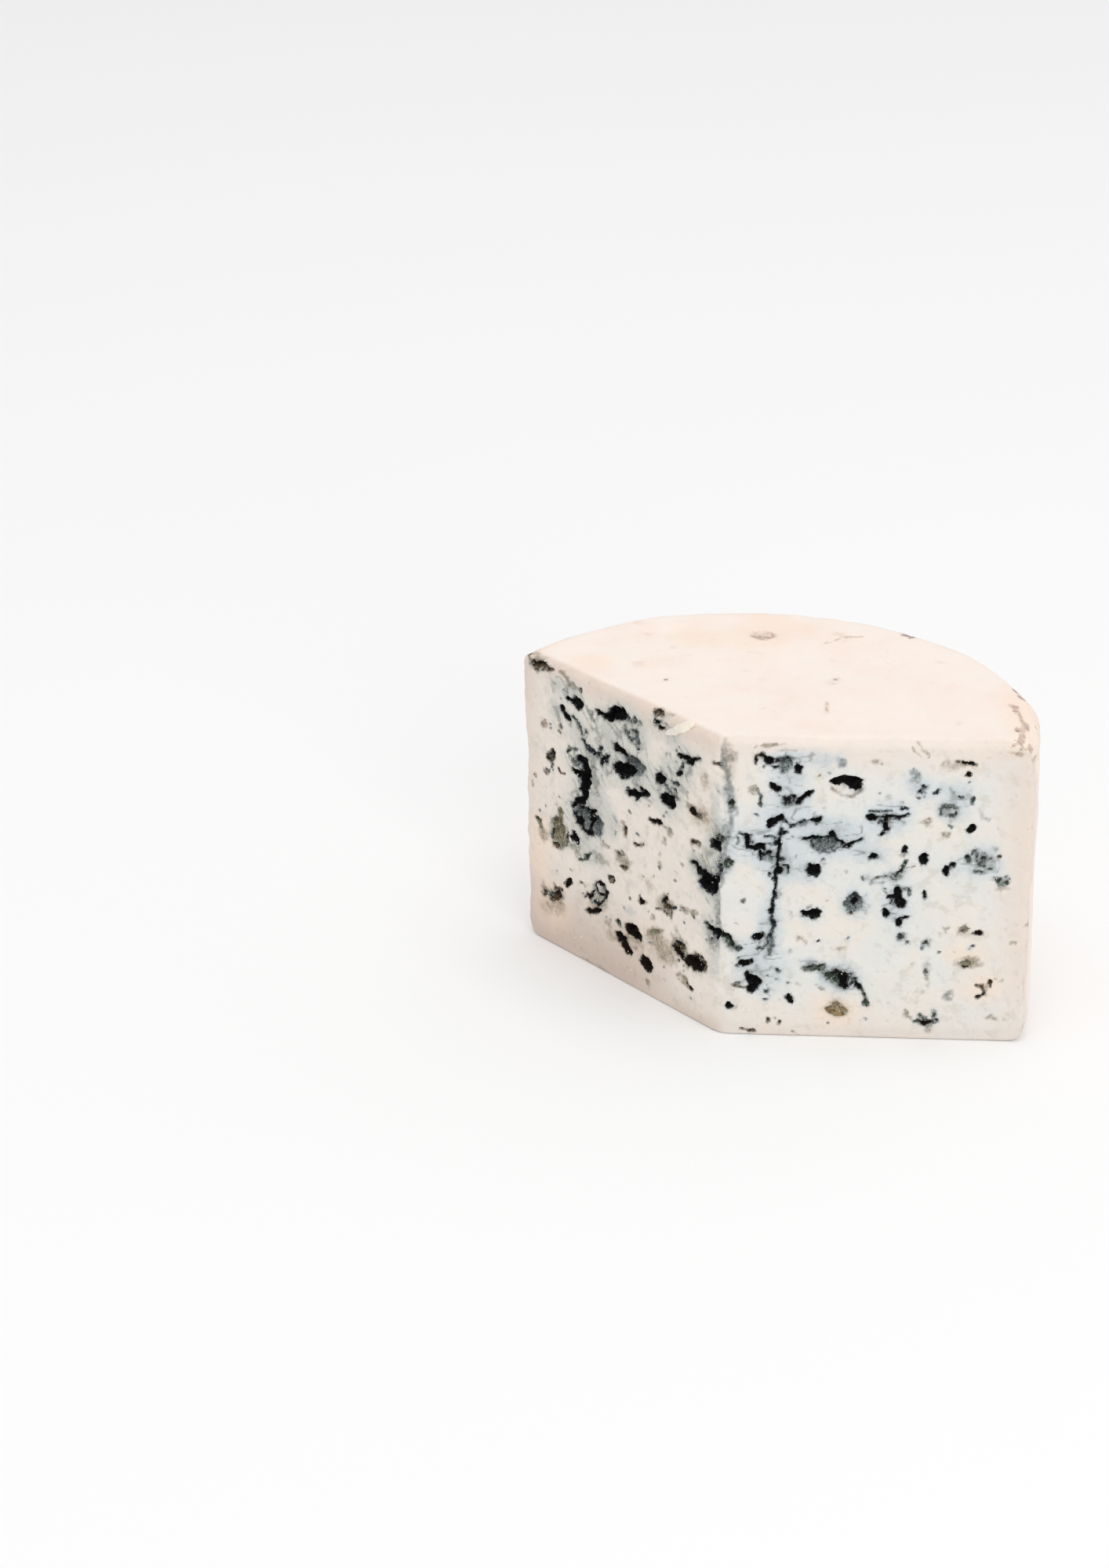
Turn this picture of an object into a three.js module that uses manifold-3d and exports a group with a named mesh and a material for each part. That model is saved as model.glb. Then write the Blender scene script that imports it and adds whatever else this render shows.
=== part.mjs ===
// A wedge of blue cheese: a little under half of a tall drum-shaped wheel, standing on its flat bottom.
// Two upright knife cuts meet at a front edge short of the wheel's middle. They lay open the mould
// pockets of the paste, and the groove that a piercing needle left.
// Millimetres, +Z up. The line halfway between the two cuts runs along +Y, and the front edge faces -Y.
import * as THREE from "three";
import { ImprovedNoise } from "three/addons/math/ImprovedNoise.js";
import { mergeVertices } from "three/addons/utils/BufferGeometryUtils.js";
import Module from "manifold-3d";

// The wheel.
const WHEEL_RADIUS = 98;
const WHEEL_HEIGHT = 110.9;
const TOP_SHOULDER_RADIUS = 7; // where the top rolls over into the rim
const FOOT_SHOULDER_RADIUS = 5;
const TOP_SAG = 1.2; // the deepest dip of the hand-turned top
const RIM_SWELL = 0.8; // how far the rim wanders from a true round

// The cuts.
const WEDGE_ANGLE = 134.4; // degrees between the two cut faces
const FRONT_EDGE_TO_CENTRE = 18.7; // the cuts meet this far in front of the wheel's middle
const CUT_EDGE_RADIUS = 2.4; // softened edges round each cut face
const FRONT_EDGE_ROUNDING = 2;

// The pockets.
const POCKET_DEPTH_SHARE = 0.55; // of a pocket's mean width
const POCKET_DEPTH_RANGE = [2, 5.5];
const POCKET_RAGGEDNESS = 0.32; // how far a pocket's wall strays from an ellipsoid, as a share
const POCKET_INSET_SHARE = 0.12; // how far behind the cut a pocket's middle lies, as a share of its depth

// Facets.
const WHEEL_SEGMENTS = 96;
const TOP_RINGS = 6;
const RIM_BANDS = 7;
const SHOULDER_SEGMENTS = 4;
const MEDIUM_POCKET_AREA = 24; // mm2 of mouth from which a pocket has 80 faces, not 32
const LARGE_POCKET_AREA = 60; // mm2 of mouth from which a pocket has 180 faces
const NOISE_SCALE = 0.045; // lumps of the rind, in cycles a millimetre

// Mouths of the pockets on each cut face: [distance from the front edge, height above the bottom,
// width, height of the mouth, tilt in degrees anticlockwise as seen from outside].
const RIGHT_POCKETS = [
  [14.5, 103.5, 7, 3, -15], [22, 103, 6, 4, 0], [42.5, 95.5, 11, 8, 0], [24, 90, 6, 4, 0],
  [18.5, 81.5, 6, 5, 30], [33, 75, 11, 6, 0], [43, 74, 8, 2.6, 15], [12, 73, 8, 6, 0],
  [31.5, 63, 4.5, 5, 0], [31, 47, 6, 4, 0], [44.5, 51, 5, 6, 0], [52, 84, 7, 2.6, 0],
  [55.5, 81, 2.6, 7, 0], [59, 54, 4.5, 6, 0], [60, 46, 5, 4.5, 0], [67.5, 68, 3.4, 4.5, 0],
  [76, 65, 3.4, 5, -20], [75.5, 86.5, 6, 5, 0], [86.5, 69, 8, 7, 0], [66, 96, 3, 6, 0],
  [88, 19, 4, 5, 0], [82, 29.5, 5, 3.5, 0], [39.5, 11, 7, 5, 0], [41, 23.5, 7, 7, 0],
  [32, 27, 9, 3, 0], [10.5, 19.5, 6, 7, 0], [8, 27.5, 5, 3.5, 0], [12.5, 38, 4, 4.5, 0],
  [4, 35.5, 7, 4.5, -30], [70, 6.5, 9, 4, 0], [23.5, 14.5, 3, 4, 0],
];
const LEFT_POCKETS = [
  [91, 107, 10, 3.5, 0], [75, 99, 9, 4, 0], [56, 101, 15, 5, 15], [45, 96, 9, 7, 0],
  [82.5, 93.5, 5, 3.5, -45], [90, 74, 4, 5, 30], [64, 85, 12, 4.5, 0], [47, 84, 12, 8, 0],
  [44, 77, 11, 4, 15], [30.5, 86, 4, 4, 0], [27.5, 79.5, 7, 5, 0], [15, 98, 9, 4, 0],
  [73, 76, 7, 8, 0], [72, 67, 6, 11, 0], [70, 57, 15, 11, 0], [85, 47.5, 8, 13, 0],
  [96, 45, 4, 7, -30], [77.5, 47, 4, 5, 0], [71.5, 42, 6, 3, 30], [91, 19, 10, 5, 30],
  [64, 32, 6, 4, 0], [67, 21, 9, 3.5, 20], [45, 22, 9, 5, -15], [51.5, 15.5, 9, 5, -35],
  [38, 12, 5.5, 6, 0], [51, 47, 6, 4, -30], [33, 68.5, 7, 2.6, 0], [29, 38.5, 8, 5, 0],
  [20, 26, 8, 5, 0], [13, 22, 9, 6, 0], [17, 13, 7, 3.5, -30], [12, 59, 7, 4, -20],
  [6, 55, 6, 7, 0], [5, 38, 8, 4, -20],
];

// The needle's groove down the right face, and the crack beside the front edge, from the top down.
const NEEDLE_RADIUS = 0.9;
const NEEDLE_GROOVE = [[20, 75], [19, 60], [17.5, 45], [17, 33]];
const CRACK_RADIUS = 0.7;
const FRONT_CRACK = [[1.8, 113], [2.4, 98], [3.2, 86], [2.8, 75]];
const GROOVE_SIDES = 6;
const GROOVE_STEPS = 10;

// A cream-coloured flake that the knife pushed up at the left face's top edge.
const FLAKE = { along: 20, up: 107, length: 10, width: 3, thickness: 1.6, sunk: 0.5, tilt: 27 };

const FLAKE_RAGGEDNESS = 0.1;
const FLAKE_SEED = 5;

const wasm = await Module();
wasm.setup();
const noise = new ImprovedNoise();
const halfAngle = THREE.MathUtils.degToRad(WEDGE_ANGLE / 2);

// The closed solid of a three.js geometry.
function solidOf(geometry) {
  const plain = new THREE.BufferGeometry();
  plain.setAttribute("position", geometry.getAttribute("position"));
  plain.setIndex(geometry.index);
  const merged = mergeVertices(plain, 1e-3);
  const mesh = new wasm.Mesh({
    numProp: 3,
    vertProperties: merged.attributes.position.array,
    triVerts: new Uint32Array(merged.index.array),
  });
  return new wasm.Manifold(mesh);
}

// A smooth random value from -1 to 1 at a place on the rind.
function lump(x, y, z, seed) {
  return noise.noise(x * NOISE_SCALE + seed, y * NOISE_SCALE, z * NOISE_SCALE);
}

// Evenly spaced points of a straight stretch, its start left out.
function stretch(from, to, count) {
  return Array.from({ length: count }, (_, i) => from.clone().lerp(to, (i + 1) / count));
}

// The points of a quarter-round shoulder, its start left out.
function shoulder(radius, height, r, startAngle) {
  const curve = new THREE.EllipseCurve(radius, height, r, r, startAngle, startAngle + Math.PI / 2);
  return curve.getPoints(SHOULDER_SEGMENTS).slice(1);
}

// The whole wheel: flat underneath, with rolled shoulders, and a top and rim that are a little uneven.
function wheel() {
  const flatTop = WHEEL_RADIUS - TOP_SHOULDER_RADIUS;
  const flatFoot = WHEEL_RADIUS - FOOT_SHOULDER_RADIUS;
  const rimFoot = new THREE.Vector2(WHEEL_RADIUS, FOOT_SHOULDER_RADIUS);
  const rimTop = new THREE.Vector2(WHEEL_RADIUS, WHEEL_HEIGHT - TOP_SHOULDER_RADIUS);
  const profile = [
    new THREE.Vector2(0, 0),
    new THREE.Vector2(flatFoot, 0),
    ...shoulder(flatFoot, FOOT_SHOULDER_RADIUS, FOOT_SHOULDER_RADIUS, -Math.PI / 2),
    ...stretch(rimFoot, rimTop, RIM_BANDS),
    ...shoulder(flatTop, WHEEL_HEIGHT - TOP_SHOULDER_RADIUS, TOP_SHOULDER_RADIUS, 0),
    ...stretch(new THREE.Vector2(flatTop, WHEEL_HEIGHT), new THREE.Vector2(0, WHEEL_HEIGHT), TOP_RINGS),
  ];
  const lathe = new THREE.LatheGeometry(profile, WHEEL_SEGMENTS);
  lathe.rotateX(Math.PI / 2);
  lathe.translate(0, FRONT_EDGE_TO_CENTRE, 0);
  const places = lathe.getAttribute("position");
  for (let i = 0; i < places.count; i += 1) {
    const x = places.getX(i);
    const y = places.getY(i);
    const z = places.getZ(i);
    const rise = THREE.MathUtils.smoothstep(z, 0, WHEEL_HEIGHT);
    const swell = 1 + (RIM_SWELL * lump(x, y, z, 3) * rise) / WHEEL_RADIUS;
    const sag = TOP_SAG * (0.5 + 0.5 * lump(x, y, 0, 11)) * THREE.MathUtils.smoothstep(rise, 0.9, 1);
    const fromCentre = y - FRONT_EDGE_TO_CENTRE;
    places.setXYZ(i, x * swell, FRONT_EDGE_TO_CENTRE + fromCentre * swell, z - sag);
  }
  return solidOf(lathe);
}

// The prism that the two knife cuts keep, its edges softened.
function knifePrism() {
  const reach = 2 * WHEEL_RADIUS;
  const side = new THREE.Vector2(Math.sin(halfAngle), Math.cos(halfAngle));
  const start = side.clone().multiplyScalar(FRONT_EDGE_ROUNDING);
  const outline = new THREE.Shape();
  outline.moveTo(start.x, start.y);
  outline.lineTo(reach * side.x, reach * side.y);
  outline.lineTo(reach * side.x, reach);
  outline.lineTo(-reach * side.x, reach);
  outline.lineTo(-reach * side.x, reach * side.y);
  outline.lineTo(-start.x, start.y);
  outline.quadraticCurveTo(0, 0, start.x, start.y);
  const prism = new THREE.ExtrudeGeometry(outline, {
    depth: WHEEL_HEIGHT - 2 * CUT_EDGE_RADIUS,
    bevelThickness: CUT_EDGE_RADIUS,
    bevelSize: CUT_EDGE_RADIUS,
    bevelOffset: -CUT_EDGE_RADIUS,
    bevelSegments: 3,
    curveSegments: 4,
  });
  prism.translate(0, 0, CUT_EDGE_RADIUS);
  return solidOf(prism);
}

// A cut face: which way it runs from the front edge, which way is right as seen from outside, and outwards.
function cutFace(sign) {
  const along = new THREE.Vector3(sign * Math.sin(halfAngle), Math.cos(halfAngle), 0);
  const across = along.clone().multiplyScalar(sign);
  const up = new THREE.Vector3(0, 0, 1);
  const outward = new THREE.Vector3().crossVectors(across, up);
  return { along, across, up, outward };
}

// A point on a face, or proud of it by a distance.
function onFace(face, along, up, proud = 0) {
  return new THREE.Vector3()
    .addScaledVector(face.along, along)
    .addScaledVector(face.up, up)
    .addScaledVector(face.outward, proud);
}

// A ball of radius 1, with more facets the larger the mouth that it has to make.
function ballFor(area) {
  if (area > LARGE_POCKET_AREA) return new THREE.IcosahedronGeometry(1, 2);
  if (area > MEDIUM_POCKET_AREA) return new THREE.IcosahedronGeometry(1, 1);
  return new THREE.OctahedronGeometry(1, 1);
}

// A lumpy ellipsoid lying in a face.
function blob(face, place, size, tilt, raggedness, seed) {
  const ball = ballFor(size.x * size.y);
  const points = ball.getAttribute("position");
  const point = new THREE.Vector3();
  for (let i = 0; i < points.count; i += 1) {
    point.fromBufferAttribute(points, i);
    const bulge = noise.noise(point.x * 1.6 + seed * 2.3, point.y * 1.6 + seed, point.z * 1.6);
    point.multiplyScalar(1 + 2 * raggedness * bulge);
    points.setXYZ(i, point.x, point.y, point.z);
  }
  ball.scale(size.x / 2, size.y / 2, size.z);
  ball.rotateZ(THREE.MathUtils.degToRad(tilt));
  ball.applyMatrix4(new THREE.Matrix4().makeBasis(face.across, face.up, face.outward));
  ball.translate(place.x, place.y, place.z);
  return solidOf(ball);
}

// One mould pocket, to be cut out of a face.
function pocket(face, [along, up, width, height, tilt], seed) {
  const wanted = POCKET_DEPTH_SHARE * Math.sqrt(width * height);
  const depth = THREE.MathUtils.clamp(wanted, ...POCKET_DEPTH_RANGE);
  const place = onFace(face, along, up, -POCKET_INSET_SHARE * depth);
  return blob(face, place, new THREE.Vector3(width, height, depth), tilt, POCKET_RAGGEDNESS, seed);
}

// A round groove along a route on a face.
function groove(face, route, radius) {
  const path = new THREE.CatmullRomCurve3(route.map(([along, up]) => onFace(face, along, up)));
  const section = new THREE.Shape();
  section.absellipse(0, 0, radius, radius, 0, 2 * Math.PI);
  return solidOf(
    new THREE.ExtrudeGeometry(section, {
      steps: GROOVE_STEPS,
      curveSegments: GROOVE_SIDES,
      extrudePath: path,
    }),
  );
}

// The flake, half sunk in the edge that it lifts from.
function flake(face) {
  const place = onFace(face, FLAKE.along, FLAKE.up, -FLAKE.sunk);
  const size = new THREE.Vector3(FLAKE.length, FLAKE.width, FLAKE.thickness);
  return blob(face, place, size, FLAKE.tilt, FLAKE_RAGGEDNESS, FLAKE_SEED);
}

// The largest of a solid's separate bodies: crumbs that the cuts set free are dropped.
function largestBody(solid) {
  return solid.decompose().reduce((a, b) => (b.volume() > a.volume() ? b : a));
}

// A three.js geometry of a solid, stood on the origin at the middle of its bounding box.
function centredGeometry(solid) {
  const { vertProperties, triVerts } = solid.getMesh();
  const geometry = new THREE.BufferGeometry();
  geometry.setAttribute("position", new THREE.BufferAttribute(new Float32Array(vertProperties), 3));
  geometry.setIndex(new THREE.BufferAttribute(new Uint32Array(triVerts), 1));
  geometry.computeBoundingBox();
  const middle = geometry.boundingBox.getCenter(new THREE.Vector3());
  geometry.translate(-middle.x, -middle.y, -geometry.boundingBox.min.z);
  geometry.computeVertexNormals();
  return geometry;
}

function cheeseWedge() {
  const right = cutFace(1);
  const left = cutFace(-1);
  const hollows = [
    ...RIGHT_POCKETS.map((row, i) => pocket(right, row, i)),
    ...LEFT_POCKETS.map((row, i) => pocket(left, row, i + RIGHT_POCKETS.length)),
    groove(right, NEEDLE_GROOVE, NEEDLE_RADIUS),
    groove(right, FRONT_CRACK, CRACK_RADIUS),
  ];
  const whole = wheel().intersect(knifePrism()).add(flake(left));
  const cut = hollows.reduce((solid, hollow) => solid.subtract(hollow), whole);
  return centredGeometry(largestBody(cut));
}

const paste = new THREE.MeshStandardMaterial({ color: 0xe7e2d9, roughness: 0.55, metalness: 0 });
const wedge = new THREE.Mesh(cheeseWedge(), paste);
wedge.name = "cheese_wedge";

const part = new THREE.Group();
part.name = "blue_cheese_wedge";
part.add(wedge);

export default part;
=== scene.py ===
import math
from collections import namedtuple
from functools import cache
from itertools import combinations

import bmesh
import bpy
import numpy as np
from bpy.props import FloatProperty, FloatVectorProperty, IntProperty, PointerProperty
from mathutils import Matrix, Vector


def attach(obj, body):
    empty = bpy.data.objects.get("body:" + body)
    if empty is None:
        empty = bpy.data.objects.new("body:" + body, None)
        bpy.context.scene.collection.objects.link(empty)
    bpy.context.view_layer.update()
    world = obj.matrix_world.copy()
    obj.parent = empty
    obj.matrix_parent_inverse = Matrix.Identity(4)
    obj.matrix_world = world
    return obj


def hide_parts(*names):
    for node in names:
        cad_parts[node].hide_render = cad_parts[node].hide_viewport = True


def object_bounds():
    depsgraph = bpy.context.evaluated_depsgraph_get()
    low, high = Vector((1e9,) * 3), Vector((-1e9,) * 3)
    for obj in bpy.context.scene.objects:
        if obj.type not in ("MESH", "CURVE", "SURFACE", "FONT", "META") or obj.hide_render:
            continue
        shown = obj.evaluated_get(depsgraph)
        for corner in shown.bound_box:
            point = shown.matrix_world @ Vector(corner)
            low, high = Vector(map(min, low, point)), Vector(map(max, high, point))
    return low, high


bl_info = {
    "name": "Blue cheese wedge",
    "version": (1, 0, 0),
    "blender": (4, 5, 0),
    "location": "View3D > Sidebar > Cheese",
    "description": "Makes a wedge of blue cheese with mould pockets, rind and crumbs, and a plain stage",
    "category": "Add Mesh",
}

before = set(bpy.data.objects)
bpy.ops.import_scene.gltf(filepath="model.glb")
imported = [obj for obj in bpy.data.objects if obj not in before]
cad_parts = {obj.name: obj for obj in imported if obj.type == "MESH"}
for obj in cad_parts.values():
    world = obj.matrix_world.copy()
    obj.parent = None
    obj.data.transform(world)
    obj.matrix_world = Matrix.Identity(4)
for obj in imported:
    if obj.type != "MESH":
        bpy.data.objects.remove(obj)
CAD_LOW, CAD_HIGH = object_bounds()

NODE = "cheese_wedge"
WEDGE = "cheese_wedge_body"
BODY = "root"
MM = 0.001  # metres in a millimetre
FAR = 99.0  # millimetres: farther than anything looks for a pocket
SIDES = (1, -1)  # the right cut and the left one


def srgb(red, green, blue):
    """A scene-linear colour from its everyday 0 to 255 values."""
    def linear(value):
        share = value / 255
        return share / 12.92 if share <= 0.04045 else ((share + 0.055) / 1.055) ** 2.4
    return linear(red), linear(green), linear(blue)


def length(name, description, default):
    return FloatProperty(
        name=name, description=description, default=default, subtype="DISTANCE", unit="LENGTH",
    )


def colour(name, description, default):
    return FloatVectorProperty(
        name=name, description=description, default=default, subtype="COLOR", min=0, max=1,
    )


class CheeseSizes(bpy.types.PropertyGroup):
    """The wheel, the cuts and the fineness of the mesh."""
    wheel_radius: length("Wheel radius", "Radius of the whole wheel", 0.098)
    wheel_height: length("Wheel height", "Height of the wheel", CAD_HIGH.z - CAD_LOW.z)
    front_to_centre: length("Front edge to centre", "From the front edge to the wheel's middle", 0.0187)
    top_shoulder: length("Top shoulder", "Radius where the top rolls over into the rim", 0.0075)
    foot_shoulder: length("Foot shoulder", "Radius where the bottom meets the rim", 0.0080)
    cut_edge: length("Cut edge", "Softening of the cuts' upper edges", 0.0028)
    foot_edge: length("Foot edge", "Softening of the cuts' lower edges", 0.001)
    front_rounding: length("Front edge rounding", "How far the front edge is rounded", 0.004)
    corner_rounding: length("Side edge rounding", "How far the cuts' outer edges are rounded", 0.0024)
    edge_wear: length("Edge wear", "How far the edges are worn back on average", 0.00035)
    top_sag: length("Top sag", "Deepest dip of the top", 0.0012)
    rim_swell: length("Rim swell", "How far the rim wanders from a true round", 0.0008)
    wedge_angle: FloatProperty(
        name="Wedge angle", description="Angle between the two cuts", default=math.radians(134.4),
        subtype="ANGLE", unit="ROTATION",
    )
    triangles: IntProperty(name="Triangles", description="Most triangles of the wedge", default=194000)
    flake_length: length("Flake length", "Length of the flake at the left cut's top", 0.0152)
    flake_width: length("Flake width", "Width of the flake", 0.0038)
    flake_thickness: length("Flake thickness", "Thickness of the flake", 0.0015)
    crumb_size: length("Crumb size", "Radius of the largest curd crumbs", 0.00042)
    tuft_size: length("Tuft size", "Radius of the largest mould tufts", 0.00028)
    crumbs: IntProperty(name="Crumbs", description="Curd crumbs on a square centimetre", default=26)
    tufts: IntProperty(name="Tufts", description="Mould tufts on a square centimetre", default=170)


class CheeseColours(bpy.types.PropertyGroup):
    """The colours of paste, rind and mould."""
    paste: colour("Paste", "Ivory paste", srgb(227, 227, 223))
    paste_cream: colour("Cream", "Warmer clouds in the paste", srgb(233, 227, 218))
    bloom: colour("Bloom", "Blue-white tinge round the mould", srgb(206, 214, 218))
    smudge: colour("Smudge", "Grey smudges at the pockets' edges", srgb(82, 91, 89))
    smudge_brown: colour("Brown smudge", "Brown smudges at old pockets' edges", srgb(104, 90, 58))
    # Painted shade tone: a warmer copy of the paste, for the left cut, matched to how that cut looks in
    # shade.
    left_paste: colour("Left paste", "Paste of the left cut", srgb(238, 228, 218))
    drab: colour("Drab", "Greyer, drier patches of the paste", srgb(196, 190, 176))
    bloom_left: colour("Left bloom", "Greyer tinge round the left cut's mould", srgb(205, 204, 194))
    band: colour("Pale rind band", "Peach band along the right cut's top and end", srgb(237, 223, 212))
    rind: colour("Rind", "Pale peach rind", srgb(246, 234, 225))
    rind_blush: colour("Rind blush", "Pinker clouds of the rind", srgb(245, 229, 219))
    # Partly the rind's band and partly painted shade: the left cut's band and both cuts' far ends take this
    # darker beige.
    rind_shade: colour("Rind band", "Beige band where the rind shows in the cut", srgb(226, 209, 196))
    warm: colour("Warm stain", "Peach stain of the rind", srgb(246, 221, 198))
    # Partly the paste's own mauve near the bottom and partly painted shade: it darkens the lower left cut
    # most, and mottles the whole left cut.
    foot: colour("Foot", "Mauve-beige paste near the bottom", srgb(204, 186, 174))
    # Also the painted shadow under the pockets' roofs and in their depths.
    black: colour("Black mould", "Deepest mould", srgb(5, 6, 7))
    blue: colour("Blue mould", "Blue-black mould", srgb(44, 54, 62))
    slate: colour("Slate mould", "Slate-grey mould", srgb(112, 119, 118))
    green: colour("Green mould", "Grey-green mould", srgb(70, 82, 68))
    brown: colour("Brown mould", "Brown old mould", srgb(92, 74, 50))
    # Also the painted shadow under the roofs of brown pockets.
    umber: colour("Brown-black mould", "Darkest old mould", srgb(26, 16, 8))
    # Painted shade: tan and olive-grey stand for the shadow inside unmoulded holes, seen through the
    # translucent paste.
    tan: colour("Tan", "Tan pocket lining", srgb(148, 128, 92))
    olive: colour("Olive", "Olive-grey pocket lining", srgb(130, 123, 98))
    taupe: colour("Taupe", "Old grey-brown rind marks", srgb(186, 163, 149))
    plum: colour("Plum", "Purplish rind marks", srgb(158, 142, 150))
    flake: colour("Flake", "Cream-coloured flake", srgb(247, 239, 221))


class StageSettings(bpy.types.PropertyGroup):
    """The floor, the lights and the camera."""
    floor_size: length("Floor size", "Side of the floor", 8.0)
    floor: colour("Floor", "Pale floor", srgb(248, 248, 248))
    floor_clouds: colour("Floor clouds", "Faint clouds of the floor", srgb(225, 225, 225))
    sky: FloatProperty(name="Sky", description="Strength of the even light", default=0.76)
    key: FloatProperty(name="Key", description="Power of the overhead light", default=26, unit="POWER")
    side: FloatProperty(name="Side", description="Power of the right-hand light", default=24, unit="POWER")


# ---------------------------------------------------------------- pockets

# Each kind of pocket: its tint, its depth as a share of its size, how much of it the mould covers, how far
# its edge breaks up and how soft that edge is, and how dark the mould is beyond its tint. Then how strongly
# it smudges the paste near it, how brown that smudge is, and how strongly it tinges the paste or warms it.
Kind = namedtuple("Kind", "tint depth cover fraying soft dark smudge brown bloom warmth")
KINDS = {
    "black": Kind("blue", 0.60, 1.00, 0.75, 0.8, 0.60, 0.80, 0.2, 0.50, 0.0),
    "pitch": Kind("umber", 0.60, 1.00, 0.70, 0.8, 0.60, 0.80, 1.0, 0.12, 0.1),
    # The cave's black is partly mould and partly painted shadow under its overhang.
    "cave": Kind("black", 0.60, 1.00, 0.15, 0.6, 0.95, 0.20, 0.3, 0.10, 0.0),
    "slate": Kind("slate", 0.42, 0.96, 0.70, 0.9, -0.14, 0.80, 0.1, 0.60, 0.0),
    "blue": Kind("blue", 0.32, 0.84, 0.90, 1.1, 0.10, 0.80, 0.1, 0.70, 0.0),
    "vein": Kind("blue", 0.24, 0.64, 1.90, 1.1, 0.00, 0.55, 0.1, 0.30, 0.0),
    "green": Kind("green", 0.34, 0.88, 0.85, 1.2, 0.05, 0.80, 0.4, 0.30, 0.1),
    "brown": Kind("brown", 0.36, 0.86, 0.85, 1.0, 0.00, 0.75, 1.0, 0.05, 0.2),
    "rust": Kind("brown", 0.34, 0.90, 0.80, 1.0, 0.14, 0.70, 1.0, 0.05, 0.2),
    # Tan and olive holes are unmoulded: their cover paints the shade inside them.
    "tan": Kind("tan", 0.55, 0.98, 0.25, 0.8, -0.60, 0.45, 1.0, 0.02, 0.6),
    "olive": Kind("olive", 0.30, 0.96, 0.35, 1.2, -0.38, 0.60, 0.8, 0.12, 0.3),
    "crumbly": Kind("green", 0.20, 0.80, 1.40, 1.0, 0.05, 0.60, 0.4, 0.40, 0.0),
    "hollow": Kind("taupe", 0.35, 0.00, 1.00, 1.0, 0.00, 0.00, 1.0, 0.00, 0.0),
    "stain": Kind("brown", 0.05, 0.00, 1.00, 1.0, 0.00, 0.66, 1.0, 0.00, 0.2),
    "faint": Kind("brown", 0.06, 0.00, 1.00, 1.0, 0.00, 0.60, 1.0, 0.00, 0.1),
    "haze": Kind("blue", 0.00, 0.00, 1.00, 1.0, 0.00, 0.32, 0.1, 0.75, 0.0),
    "dusk": Kind("brown", 0.10, 0.00, 1.30, 1.0, 0.00, 0.86, 1.0, 0.00, 0.1),
    "gloom": Kind("blue", 0.12, 0.00, 1.30, 1.0, 0.00, 0.84, 0.1, 0.35, 0.0),
    "smoke": Kind("green", 0.05, 0.00, 1.00, 1.0, 0.00, 0.66, 0.3, 0.30, 0.0),
    "taupe": Kind("taupe", 0.12, 0.85, 0.80, 1.4, -0.60, 0.45, 1.0, 0.00, 0.4),
    "plum": Kind("plum", 0.10, 0.80, 0.80, 1.4, -0.60, 0.40, 0.6, 0.10, 0.2),
    "crater": Kind("taupe", 0.16, 0.35, 0.60, 1.6, -0.60, 0.50, 1.0, 0.00, 1.0),
    "peach": Kind("taupe", 0.00, 0.00, 1.00, 1.0, 0.00, 0.00, 1.0, 0.00, 1.0),
}

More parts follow.
